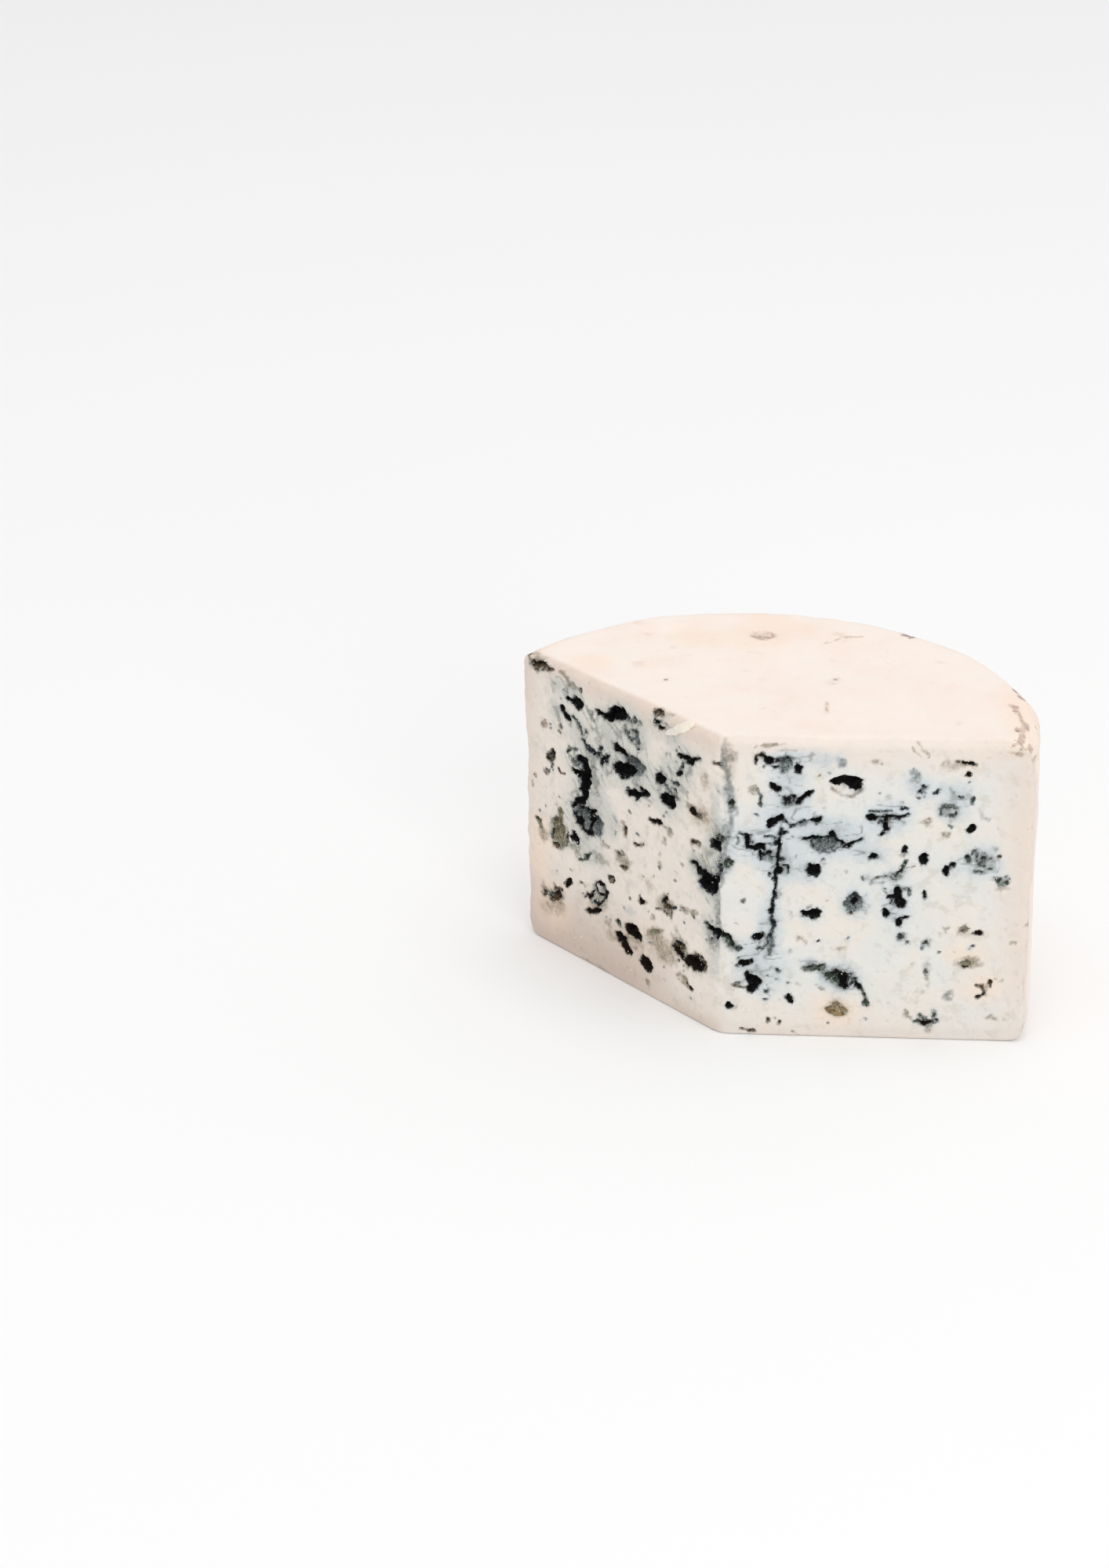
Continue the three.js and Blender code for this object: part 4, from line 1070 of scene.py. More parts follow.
def read_chart(chart, coords):
    """What the pockets and cracks do at each place of a chart."""
    plane = flat(coords)
    frays = [
        reach * np.column_stack([noise(plane, cell, chart.seed + 2 * step + axis) for axis in range(2)])
        for step, (cell, reach, _) in enumerate(FRAYING)
    ]
    breaks = layered(plane, BREAKS, seed=chart.seed)
    lumps = layered(plane, LUMPS, LEVEL, chart.seed)
    order = np.argsort(coords[:, 0])
    along = coords[order, 0]
    count = len(coords)
    reading = Reading(np.full(count, FAR), np.zeros(count), np.zeros(count, int), *np.zeros((8, count)))
    best = np.full(count, FAR)
    for index, spot in enumerate(chart.spots):
        kind = KINDS[spot.kind]
        low, high = spot.box()
        first, last = np.searchsorted(along, (low[0] - NEAR, high[0] + NEAR))
        at = order[first:last]
        at = at[(coords[at, 1] > low[1] - NEAR) & (coords[at, 1] < high[1] + NEAR)]
        shift = sum(min(1, spot.narrow / full) * fray[at] for fray, (_, _, full) in zip(frays, FRAYING))
        distance, roof = spot.measure(coords[at] + shift, breaks[at])
        outside = np.maximum(distance, 0)
        if kind.cover:
            smudge, bloom, warmth = (np.exp(-outside / (reach + more * spot.size)) for reach, more in FADES)
        else:
            smudge = bare_fade(distance, spot.narrow, *BARE_SMUDGE)
            bloom = warmth = bare_fade(distance, spot.narrow, *BARE_TINGE)
        gain = (1 - reading.smudge[at]) * kind.smudge * smudge
        reading.smudge[at] += gain
        reading.brown[at] += gain * kind.brown
        reading.bloom[at] += (1 - reading.bloom[at]) * kind.bloom * bloom
        reading.warmth[at] += (1 - reading.warmth[at]) * kind.warmth * warmth
        if kind.depth:
            deepest = np.clip(kind.depth * spot.size, *DEPTHS)
            deep = deepest * smoothstep(RIM_OF_POCKET, -spot.wall, distance)
            deep *= 1 - UNDERCUT + UNDERCUT * roof
            reading.depth[at] = np.maximum(reading.depth[at], deep * lumps[at])
        if not kind.cover:
            continue
        distance = distance / kind.soft
        reading.edge[at] = np.minimum(reading.edge[at], distance)
        favour = DARK_FIRST * max(kind.dark, 0) * smoothstep(DARK_EDGE, -DARK_EDGE, distance)
        rank = np.maximum(distance, INNER) - favour
        first = rank < best[at]
        at = at[first]
        best[at] = rank[first]
        reading.nearest[at] = index
        reading.roof[at] = roof[first]
        reading.dark[at] = kind.dark
        reading.cover[at] = kind.cover
    reading.brown[:] /= np.maximum(reading.smudge, TINY)
    reading.crevice[:] = crevices(chart, coords, reading.bloom)
    return reading


# Clean parts of each cut, as nearest and lowest, then farthest and highest, in millimetres.
RIGHT_CLEAR = [
    (4, 41, 16.5, 62.5), (86, 76, 103, 106), (96, 8, 103, 110), (20, 34, 29, 60), (0, 104, 103, 111),
    (60, 0, 103, 5),
]
LEFT_CLEAR = [(0, 0, 103, 6), (55, 0, 103, 13), (96, 0, 103, 111), (0, 103, 103, 111)]


def charts_of(form):
    """The charts of the right cut, the left cut, the top and the rim, with all that lies on each."""
    right, left = pockets_of(RIGHT_POCKETS), pockets_of(LEFT_POCKETS, side=-1)
    right_spots = [
        *right,
        *specks(right, count=90, slant=-8, clear=RIGHT_CLEAR, seed=7),
        *veins(right, reach=7, share=0.12, clear=RIGHT_CLEAR, seed=9),
        *cracks_of(RIGHT_CRACKS),
    ]
    left_spots = [
        *left,
        *specks(left, count=110, slant=30, clear=LEFT_CLEAR, seed=8),
        *veins(left, reach=8, share=0.14, clear=LEFT_CLEAR, seed=10),
        *cracks_of(LEFT_CRACKS),
    ]
    return [
        CutChart(form, side=1, slant=6, spots=right_spots, seed=20),
        CutChart(form, side=-1, slant=50, spots=left_spots, seed=40),
        TopChart(form, [*pockets_of(TOP_MARKS), *cracks_of(TOP_CRACKS)], seed=60),
        RimChart(form, [*pockets_of(RIM_MARKS), *cracks_of(RIM_CRACKS)], seed=70),
    ]


def rind_gaps(form, points):
    """Distances below the top, above the bottom and inside the rim."""
    from_axis = np.hypot(points[:, 0], points[:, 1] - form.centre)
    return np.column_stack([form.height - points[:, 2], points[:, 2], form.radius - from_axis])


SKIN = 4.0  # millimetres below a cut or the top within which its pockets count
SKIN_FADE = 0.6  # millimetres within which they count in full
CORE_BACK = 20  # millimetres behind the wheel's middle: the point towards which the edges are worn

# Millimetres over which each kind of relief fades in, the second number where it is full.
BULGE_IN = (8, 2)  # in from the rim
BULGE_UP = (0, 12)  # above the bottom
WEAR_UP = (0, 3)
GRAIN_UP = (0, 4)
SAG_IN = (6, 20)
SAG_BEHIND = (3, 14)  # behind the cuts
TOP_SKIN = (4, 0)  # below the top
EDGE_NEAR = (5, 0.5)  # to the second nearest of an edge's surfaces
CREASES_FROM = (98, 104)  # height, counted on across the top
CREASES_TO = (124, 116)
CREASES_BEGIN = (18, 24)  # round the rim, where the strong creases begin and end
CREASES_END = (80, 50)

# Noises of the surfaces, as strength in millimetres, cell and seed.
RIM_SWELL = (0.6, 24, 3)  # its strength is a share of the rim's swell
RIM_LUMPS = ((0.22, 6, 4), (0.1, 2.2, 5))
TOP_DIPS = ((0.5, 26, 11),)  # its strength, with this mean, is a share of the top's sag
TOP_MEAN = 0.5
TOP_LUMPS = ((0.16, 7, 12), (0.07, 2, 13))
CUT_GRAIN = ((0.42, 16, 10), (0.22, 6.5, 18), (0.16, 3.1, 8))
FINE_GRAIN = ((0.11, 1.2, 9),)
CURDS = (1.7, 19)  # cell and seed of the small hard curds, which a cut tears out
CURD_DEPTH = 0.4
CURD_EDGE = (0.5, 0.85)  # values of that noise between which a curd's wall rises
WEAR = ((1.6, 9, 16), (0.9, 3.4, 17))  # as shares of the edges' mean wear
MOST_WEAR = 3.5
CREASES = (1, 15)  # cell and seed of the top shoulder's creases, which run round it
CREASE_SPACING = (6, 1.5)  # millimetres along and across
CREASE_DEPTH = 0.7
CREASE_SHARPNESS = 5
CREASE_LEAST = 0.25  # strength of the creases beyond the strong ones


def add_relief(form, charts, points):
    """Wavers the rind, grains the cuts and sinks the pockets."""
    height = points[:, 2]
    rim = charts[-1]
    inset = rim.inset(points)
    bulge = rim_bulge(form, rim, points) * smoothstep(*BULGE_IN, inset) * smoothstep(*BULGE_UP, height)
    moved = points + bulge[:, None] * -rim.inwards(points)
    core = np.array([0, form.centre + CORE_BACK, form.height / 2])
    inwards = (core - points) / np.linalg.norm(core - points, axis=1)[:, None]
    moved += (edge_wear(form, points) * smoothstep(*WEAR_UP, height))[:, None] * inwards
    inner = smoothstep(*SAG_IN, inset) * smoothstep(*SAG_BEHIND, from_cuts(form, points).min(axis=1))
    sag = form.sag * inner * layered(points, TOP_DIPS, TOP_MEAN)
    sag += layered(points, TOP_LUMPS)
    moved[:, 2] -= smoothstep(*TOP_SKIN, form.height - height) * sag
    for chart in charts:
        at = np.flatnonzero((chart.below(points) < SKIN) & (chart.belongs(points) > 0))
        skin = points[at]
        reading = read_chart(chart, chart.coords(skin))
        push = reading.depth + CREVICE_DEPTH * reading.crevice
        if isinstance(chart, CutChart):
            push = push + cut_grain(skin) * smoothstep(*GRAIN_UP, skin[:, 2])
        push *= smoothstep(SKIN, SKIN_FADE, chart.below(skin)) * chart.belongs(skin)
        moved[at] += push[:, None] * chart.inwards(skin)
    moved[:, 2] = np.maximum(moved[:, 2], 0)
    foot = height <= 0
    moved[foot] = points[foot]
    return moved


def rim_bulge(form, rim, points):
    """How far the rim stands out of a true round: its swell, its lumps, its bulges and its creases."""
    swell, cell, seed = RIM_SWELL
    bulge = layered(points, [(form.swell * swell, cell, seed), *RIM_LUMPS])
    unrolled = rim.coords(points)
    for around, up, width, out in RIM_BULGES:
        bulge += out * np.exp(-((unrolled[:, 0] - around) ** 2 + (unrolled[:, 1] - up) ** 2) / width**2)
    return bulge - CREASE_DEPTH * shoulder_creases(unrolled)


def cut_grain(skin):
    """How far the grain of a cut lies back: broad tears, a fine grain and the small curds torn out of it."""
    cell, seed = CURDS
    grain = layered(skin, CUT_GRAIN)
    grain += layered(skin, FINE_GRAIN) + CURD_DEPTH * smoothstep(*CURD_EDGE, noise(skin, cell, seed))
    return grain


def edge_wear(form, points):
    """How far back the edges are worn, unevenly along them."""
    gaps = np.sort(np.column_stack([rind_gaps(form, points), from_cuts(form, points)]), axis=1)
    uneven = np.clip(layered(points, WEAR, 1), 0, MOST_WEAR)
    return form.wear * uneven * smoothstep(*EDGE_NEAR, gaps[:, 1])


def shoulder_creases(unrolled):
    """Fine creases that run round the top shoulder, strongest near the right cut."""
    around, up = unrolled.T
    ridge = np.clip(1 - CREASE_SHARPNESS * np.abs(noise(flat(unrolled / CREASE_SPACING), *CREASES)), 0, 1)
    on_shoulder = smoothstep(*CREASES_FROM, up) * smoothstep(*CREASES_TO, up)
    more = (1 - CREASE_LEAST) * smoothstep(*CREASES_END, around) * smoothstep(*CREASES_BEGIN, around)
    return ridge * on_shoulder * (CREASE_LEAST + more)


# ---------------------------------------------------------------- meshes

def mesh_of(name, points, triangles):
    """A smooth-shaded mesh from points in metres and triangles."""
    mesh = bpy.data.meshes.new(name)
    mesh.vertices.add(len(points))
    mesh.vertices.foreach_set("co", np.asarray(points, np.float32).ravel())
    mesh.loops.add(3 * len(triangles))
    mesh.loops.foreach_set("vertex_index", np.asarray(triangles, np.int32).ravel())
    mesh.polygons.add(len(triangles))
    mesh.polygons.foreach_set("loop_start", np.arange(0, 3 * len(triangles), 3, dtype=np.int32))
    mesh.update(calc_edges=True)
    mesh.shade_smooth()
    return mesh


def object_of(name, mesh):
    """An object that shows the mesh, linked to the scene."""
    made = bpy.data.objects.new(name, mesh)
    bpy.context.scene.collection.objects.link(made)
    return made


def points_of(mesh):
    """The mesh's points in metres."""
    flat_list = np.empty(3 * len(mesh.vertices), np.float32)
    mesh.vertices.foreach_get("co", flat_list)
    return flat_list.reshape(-1, 3).astype(float)


def apply_modifiers(piece):
    """Bakes a piece's modifiers into its mesh."""
    depsgraph = bpy.context.evaluated_depsgraph_get()
    done = bpy.data.meshes.new_from_object(piece.evaluated_get(depsgraph))
    done.name = piece.name
    old = piece.data
    piece.modifiers.clear()
    piece.data = done
    bpy.data.meshes.remove(old)


def store(mesh, name, values):
    """Adds a number to each of the mesh's points."""
    attribute = mesh.attributes.new(name, "FLOAT", "POINT")
    attribute.data.foreach_set("value", np.asarray(values, np.float32))


def store_colour(mesh, name, values):
    """Adds a colour to each of the mesh's points."""
    attribute = mesh.attributes.new(name, "FLOAT_COLOR", "POINT")
    rgba = np.column_stack([values, np.ones(len(values))])
    attribute.data.foreach_set("color", rgba.astype(np.float32).ravel())


# What each point of the wedge tells its material, in the order in which it is stored.
FIELDS = (
    "pocket_edge", "mould_cover", "mould_dark", "crevice", "mould_smudge", "smudge_brown", "mould_bloom",
    "warmth", "pocket_roof", "pocket_depth", "cut_face", "rind_depth", "left_side", "height", "from_front",
)
TINT = "mould_tint"
CRUMB_SHARE = "crumb_share"
TUFT_SHARE = "tuft_share"
PAINT_REACH = 10.0  # millimetres below a cut or the top within which its pockets are painted
PAINT_FADE = (3.6, 1.6)  # millimetres below the surface, pockets apart, over which paint fades in
BORDER_LOSS = 2  # millimetres by which a chart's pockets draw back where it gives way to the next
EDGE_RANGE = (-4, 12)  # millimetres
RIND_RANGE = (0, 30)
LEFT_BLEND = 3  # millimetres each side of the front edge
CLUSTERS = ((1, 6, 30), (0.5, 2.4, 31))  # noises that gather the crumbs: strength, cell and seed
CLUSTER_EDGE = (-0.1, 0.6)
CRUMBS_BLOOM = (0.2, 0.7)  # strengths of bloom between which crumbs grow frequent
CRUMBS_LEAST = 0.25  # their share where there is no bloom
CRUMBS_LOST = 0.6  # the share of them that is missing inside pockets
INSIDE = (0.3, -0.4)  # millimetres outside a pocket's edge
OFF_FLOOR = (0.6, 1.6)  # millimetres


def paint_attributes(form, charts, mesh, colours):
    """Stores on the mesh what its material needs to know about pockets and rind."""
    points = points_of(mesh) / MM - (0, form.front, 0)
    count = len(points)
    edge = np.full(count, FAR)
    cover, dark, crevice, smudge, brown, bloom, warmth, roof, sunk, cut = np.zeros((10, count))
    tint = np.zeros((count, 3))
    for chart in charts:
        at = np.flatnonzero((chart.below(points) < PAINT_REACH) & (chart.belongs(points) > 0))
        reading = read_chart(chart, chart.coords(points[at]))
        skin = smoothstep(*PAINT_FADE, chart.below(points[at]) - reading.depth)
        share = chart.belongs(points[at])
        near = skin * share
        if isinstance(chart, CutChart):
            cut[at] += near
        smudge[at] += reading.smudge * near
        brown[at] = np.maximum(brown[at], reading.brown * near)
        bloom[at] += reading.bloom * near
        warmth[at] += reading.warmth * near
        crevice[at] += reading.crevice * near
        tints = np.array([tuple(getattr(colours, KINDS[spot.kind].tint)) for spot in chart.spots])
        distance = reading.edge + FAR * (1 - skin) + BORDER_LOSS * (1 - share) ** 3
        closer = distance < edge[at]
        at = at[closer]
        edge[at] = distance[closer]
        cover[at] = reading.cover[closer]
        dark[at] = reading.dark[closer]
        roof[at] = reading.roof[closer]
        sunk[at] = (reading.depth * near)[closer]
        tint[at] = tints[reading.nearest[closer]]
    right, _, height = points.T
    under = np.clip(rind_gaps(form, points).min(axis=1), *RIND_RANGE)
    left = smoothstep(LEFT_BLEND, -LEFT_BLEND, right)
    from_front = np.hypot(points[:, 0], points[:, 1])
    values = (
        np.clip(edge, *EDGE_RANGE), cover, dark, crevice, smudge, brown, bloom, warmth, roof, sunk, cut,
        under, left, height, from_front,
    )
    for name, value in zip(FIELDS, values, strict=True):
        store(mesh, name, value)
    store_colour(mesh, TINT, tint)
    inside = smoothstep(*INSIDE, edge)
    clusters = smoothstep(*CLUSTER_EDGE, layered(points, CLUSTERS))
    frequent = CRUMBS_LEAST + (1 - CRUMBS_LEAST) * smoothstep(*CRUMBS_BLOOM, bloom)
    clusters *= frequent * (1 - CRUMBS_LOST * inside)
    off_floor = smoothstep(*OFF_FLOOR, height)
    store(mesh, CRUMB_SHARE, cut * off_floor * clusters)
    store(mesh, TUFT_SHARE, cut * off_floor * inside * cover)


# ---------------------------------------------------------------- shaders

class Value:
    """A node's output that takes part in arithmetic: each operation adds its Math node."""

    def __init__(self, maker, socket):
        self.maker = maker
        self.socket = socket

    def _math(self, operation, *others, swap=False):
        operands = [*others, self] if swap else [self, *others]
        return self.maker.node("ShaderNodeMath", {"operation": operation}, dict(enumerate(operands)))

    def __add__(self, other):
        return self._math("ADD", other)

    def __sub__(self, other):
        return self._math("SUBTRACT", other)

    def __rsub__(self, other):
        return self._math("SUBTRACT", other, swap=True)

    def __mul__(self, other):
        return self._math("MULTIPLY", other)

    __radd__ = __add__
    __rmul__ = __mul__

    def at_least(self, other):
        return self._math("MAXIMUM", other)

    def size(self):
        """Its absolute value."""
        return self._math("ABSOLUTE")

    def step(self, low, high):
        """0 below low and 1 above high, smooth between; low may be the larger."""
        return self.maker.node(
            "ShaderNodeMapRange", {"interpolation_type": "SMOOTHSTEP"},
            {"Value": self, "From Min": low, "From Max": high},
        )


class NodeMaker:
    """Adds nodes to one tree."""

    def __init__(self, tree):
        self.tree = tree

    def node(self, kind, settings=None, inputs=None, output=0):
        """Adds a node, its settings first and then the values or links of its sockets. None for no output."""
        made = self.tree.nodes.new(kind)
        for name, value in (settings or {}).items():
            setattr(made, name, value)
        for key, value in (inputs or {}).items():
            socket = made.inputs[key]
            if isinstance(value, Value):
                self.tree.links.new(value.socket, socket)
            else:
                socket.default_value = value
        return None if output is None else Value(self, made.outputs[output])


class Shader(NodeMaker):
    """Builds one material's nodes."""

    def __init__(self, name):
        self.material = bpy.data.materials.new(name)
        self.material.use_nodes = True
        super().__init__(self.material.node_tree)
        self.tree.nodes.clear()
        self.place = self.node("ShaderNodeTexCoord", output="Object")

    def attribute(self, name, output="Fac"):
        return self.node("ShaderNodeAttribute", {"attribute_name": name}, output=output)

    def noise(self, cell, detail=2.0, rough=0.5, stretch=None):
        """Noise from 0 to 1 whose lumps are about cell millimetres across."""
        place = self.place
        if stretch:
            place = self.node("ShaderNodeMapping", inputs={"Vector": place, "Scale": stretch})
        inputs = {"Vector": place, "Scale": 1 / (cell * MM), "Detail": detail, "Roughness": rough}
        return self.node("ShaderNodeTexNoise", {"noise_dimensions": "3D"}, inputs)

    def mix(self, share, first, second):
        """A colour between two others."""
        def rgba(value):
            return value if isinstance(value, Value) else (*value, 1)
        inputs = {0: share, 6: rgba(first), 7: rgba(second)}
        return self.node("ShaderNodeMix", {"data_type": "RGBA", "clamp_factor": True}, inputs, output=2)

    def bump(self, height, distance, strength):
        inputs = {"Height": height, "Distance": distance, "Strength": strength}
        return self.node("ShaderNodeBump", inputs=inputs)

    def surface(self, **inputs):
        """Ends the material with one surface and returns it. Sockets' names have _ for their spaces."""
        sockets = {name.replace("_", " "): value for name, value in inputs.items()}
        shader = self.node("ShaderNodeBsdfPrincipled", inputs=sockets)
        self.node("ShaderNodeOutputMaterial", inputs={"Surface": shader}, output=None)
        return self.material


SHEEN = 0.07  # specular level of paste and rind, which are nearly dull


def cheese_material(colours):
    """Paste, mould and rind in one surface, told apart by the mesh's attributes. Lengths are millimetres."""
    s = Shader("blue_cheese")
    (
        edge, cover, bias, crevice, smudge, brown, bloom, warmth, roof, sunk, cut,
        under, left, height, from_front,
    ) = (s.attribute(name) for name in FIELDS)
    tint = s.attribute(TINT, "Color")

    clouds = s.noise(cell=22, detail=3)
    mottle = s.noise(cell=5, detail=4, rough=0.6)
    fine = s.noise(cell=1.1, detail=3, rough=0.6)
    tiny = s.noise(cell=0.45, detail=2, rough=0.6)
    grit = s.noise(cell=1.5, detail=4, rough=0.7)
    streak = s.noise(cell=3.2, detail=4, rough=0.65, stretch=(1, 1, 0.45))
    dry = s.noise(cell=6, detail=5, rough=0.65)
    patch = s.noise(cell=1.7, detail=3, rough=0.7)
    threads = s.noise(cell=9, detail=4, rough=0.7)
    thread_clouds = s.noise(cell=16, detail=1)

    # Paste: ivory with creamier clouds; on the left cut a warmer copy of it and a mottle of the foot's mauve,
    # painted shade of that cut; drier patches and pale grains.
    paste = s.mix(clouds.step(0.42, 0.68), colours.paste, colours.paste_cream)
    paste = s.mix(left * (1.0 - 0.35 * mottle), paste, colours.left_paste)
    # Painted shade: a mottle of the foot's mauve over the left cut.
    paste = s.mix(left * mottle.step(0.4, 0.8) * 0.2, paste, colours.foot)
    paste = s.mix((dry - 0.5).size().step(0.0, 0.16) * dry.step(0.5, 0.62) * 0.35, paste, colours.drab)
    paste = s.mix(grit.step(0.5, 0.3) * 0.3, paste, colours.paste_cream)

    # The rind's band along the cuts' borders, darker beige as painted shade on the left cut and towards the
    # cuts' far ends; the mauve foot, partly the paste's own and partly painted shade of the left cut; and
    # warm stains.
    band = (under * (1.0 + 0.35 * left) + (mottle - 0.5) * 7).step(18, 1)
    band = band * (1.0 - 0.5 * (1.0 - left) * height.step(24, 8))
    # Painted shade: the band turns darker beige towards the far ends of the cuts.
    far_end_shade = from_front.step(78, 102)
    band_colour = s.mix(left.at_least(far_end_shade * 0.5), colours.band, colours.rind_shade)
    paste = s.mix(band * (0.8 - 0.4 * left + 0.45 * left * height.step(86, 98)), paste, band_colour)
    # Painted shade as well as the paste's mauve: the foot climbs up to 40 millimetres on the left cut away
    # from its front, and is stronger there than on the right.
    foot = (height + (mottle - 0.5) * 8).step(40, 4) * left * from_front.step(12, 50)
    foot = foot.at_least(height.step(8, 0) * (0.2 + 0.4 * left))
    paste = s.mix(foot * 0.85, paste, colours.foot)
    paste = s.mix(warmth * 0.5, paste, colours.warm)

    # Bloom: a blue-grey tinge that fades away from the mould, greyer on the left, and smudges close to it.
    veil = (bloom * (0.9 * streak + 1.0 * grit - 0.05)).step(0.12, 0.85)
    bloom_colour = s.mix(left * 0.8, colours.bloom, colours.bloom_left)
    paste = s.mix(veil * 0.85, paste, bloom_colour)
    stain = (smudge * (0.1 + 1.8 * grit)).step(0.1, 1.3)
    lines = (crevice * (0.3 + 1.2 * grit)).step(0.2, 1.0)
    smudge_colour = s.mix(brown, colours.smudge, colours.smudge_brown)
    paste = s.mix((stain * 0.8).at_least(lines * 0.5), paste, smudge_colour)

    # Mould: black under each pocket's roof and where it sinks deepest, partly dark mould and partly painted
    # shadow of the overhang, its own tint on the lower, lit part, broken up where cover is thin.
    ragged = edge + (fine - 0.5) * 1.3 + (tiny - 0.5) * 0.8
    inside = ragged.step(0.45, -0.4)
    covered = inside * (patch + cover - 0.5).step(0.26, 0.56)
    # Painted shadow as well as dark mould: the black grows towards each pocket's roof and with its depth.
    dark = (bias + roof * 0.35 + sunk * 0.06 + (patch - 0.5) * 1.5).step(-0.25, 0.45)
    mould = s.mix((grit + fine * 0.5).step(0.72, 0.92) * 0.35, tint, bloom_colour)
    mould = s.mix((fine + tiny * 0.5).step(0.75, 0.55) * 0.3, mould, colours.black)
    mould = s.mix(dark, mould, s.mix(brown, colours.black, colours.umber))
    lining = s.mix(0.35, paste, colours.bloom)
    cut_colour = s.mix(covered, s.mix(inside, paste, lining), mould)

    # Rind: pale peach, blushing in clouds, with fine darker threads, warm stains and its own marks.
    rind = s.mix(clouds.step(0.4, 0.7), colours.rind, colours.rind_blush)
    rind = s.mix(warmth * 0.45, rind, colours.warm)
    thread = (threads - 0.5).size().step(0.012, 0.0) * thread_clouds.step(0.55, 0.68)
    rind = s.mix(thread * 0.16, rind, colours.taupe)
    rind = s.mix(stain * 0.4, rind, colours.taupe)
    rind = s.mix(covered * 0.85, rind, tint)

    relief = fine * 0.6 + tiny * 0.3 + mottle * 0.8
    return s.surface(
        Base_Color=s.mix(cut, rind, cut_colour), Roughness=0.6 - 0.12 * cut + 0.25 * covered,
        Normal=s.bump(relief, distance=0.35 * MM, strength=0.35), Specular_IOR_Level=SHEEN,
        Subsurface_Weight=0.12, Subsurface_Radius=(1.0, 0.75, 0.55), Subsurface_Scale=1.5 * MM,
    )


def matt_material(name, first, second, cell):
    """A dull, mottled surface for the smallest pieces."""
    s = Shader(name)
    mottle = s.noise(cell, detail=3, rough=0.6)
    return s.surface(
        Base_Color=s.mix(mottle.step(0.35, 0.65), first, second), Roughness=0.75,
        Normal=s.bump(s.noise(cell / 4), distance=0.2 * MM, strength=0.4), Specular_IOR_Level=SHEEN,
        Subsurface_Weight=0.1, Subsurface_Scale=1.0 * MM,
    )


def floor_material(settings):
    """A pale floor with hardly visible clouds."""
    s = Shader("pale_floor")
    base = s.mix(s.noise(cell=400) * 0.04, settings.floor, settings.floor_clouds)
    return s.surface(Base_Color=base, Roughness=0.8, Specular_IOR_Level=0.2)


# ---------------------------------------------------------------- lumps strewn over a surface

class Scatter(NodeMaker):
    """Builds one Geometry Nodes tree and the values of its named inputs."""

    def __init__(self, name):
        super().__init__(bpy.data.node_groups.new(name, "GeometryNodeTree"))
        self.tree.interface.new_socket("Geometry", in_out="OUTPUT", socket_type="NodeSocketGeometry")
        self.entry = self.tree.nodes.new("NodeGroupInput")
        self.values = {}

    def input(self, name, kind, value=None):
        """A named input of the tree, whose value is set before it is first evaluated."""
        socket = self.tree.interface.new_socket(name, in_out="INPUT", socket_type=f"NodeSocket{kind}")
        if value is not None:
            self.values[socket.identifier] = value
        return Value(self, self.entry.outputs[name])

    def random(self, kind, low, high, seed):
        """A random number or vector for each point."""
        first, output = {"FLOAT_VECTOR": (0, 0), "FLOAT": (2, 1)}[kind]
        inputs = {first: low, first + 1: high, "Seed": seed}
        return self.node("FunctionNodeRandomValue", {"data_type": kind}, inputs, output)

    def vector(self, operation, first, second):
        """Vector arithmetic. Its second operand is a number for SCALE and a vector otherwise."""
        key = "Scale" if operation == "SCALE" else 1
        return self.node("ShaderNodeVectorMath", {"operation": operation}, {0: first, key: second})


PER_SQUARE_METRE = 1e4  # square centimetres
LUMP_NOISE = {"Scale": 1.1, "Detail": 1.0}  # in the lump's radius
LUMP_SWELL = 1.3  # how far that noise pushes its surface about
LUMP_FLATTEST = (0.5, 0.5, 0.4)  # how far a lump is squeezed each way, at most and at least
LUMP_ROUNDEST = (1, 1, 0.8)
LUMP_SMALLEST = 0.35  # as a share of the largest


def strew(name, host, share, per_square_cm, largest, roundness, seed, material):
    """A piece of small uneven lumps, half sunk in the host's surface where its share attribute allows."""
    s = Scatter(name)
    surface = s.input("Surface", "Geometry")
    density = s.input("Density", "Float", per_square_cm * PER_SQUARE_METRE)
    size = s.input("Largest", "Float", largest)
    draw = s.input("Seed", "Int", seed)
    finish = s.input("Material", "Material", material)
    allowed = s.node("GeometryNodeInputNamedAttribute", {"data_type": "FLOAT"}, {"Name": share})
    spots = s.node(
        "GeometryNodeDistributePointsOnFaces", {"distribute_method": "RANDOM"},
        {"Mesh": surface, "Density": density * allowed, "Seed": draw},
    )
    ball = s.node("GeometryNodeMeshIcoSphere", inputs={"Radius": 1.0, "Subdivisions": roundness})
    lumps = s.node("ShaderNodeTexNoise", inputs=LUMP_NOISE, output=1)
    offset = s.vector("SCALE", s.vector("SUBTRACT", lumps, (0.5, 0.5, 0.5)), LUMP_SWELL)
    lump = s.node("GeometryNodeSetPosition", inputs={"Geometry": ball, "Offset": offset})
    turn = s.random("FLOAT_VECTOR", (0, 0, 0), (math.tau,) * 3, draw + 1)
    stretch = s.random("FLOAT_VECTOR", LUMP_FLATTEST, LUMP_ROUNDEST, draw + 2)
    scale = s.vector("SCALE", stretch, size * s.random("FLOAT", LUMP_SMALLEST, 1, draw + 3))
    inputs = {"Points": spots, "Instance": lump, "Rotation": turn, "Scale": scale}
    placed = s.node("GeometryNodeInstanceOnPoints", inputs=inputs)
    real = s.node("GeometryNodeRealizeInstances", inputs={"Geometry": placed})
    done = s.node("GeometryNodeSetMaterial", inputs={"Geometry": real, "Material": finish})
    s.node("NodeGroupOutput", inputs={"Geometry": done}, output=None)
    piece = object_of(name, host.data.copy())
    modifier = piece.modifiers.new("strew", "NODES")
    modifier.node_group = s.tree
    for identifier, value in s.values.items():
        modifier[identifier] = value
    apply_modifiers(piece)
    finish_piece(piece)


# ---------------------------------------------------------------- the flake

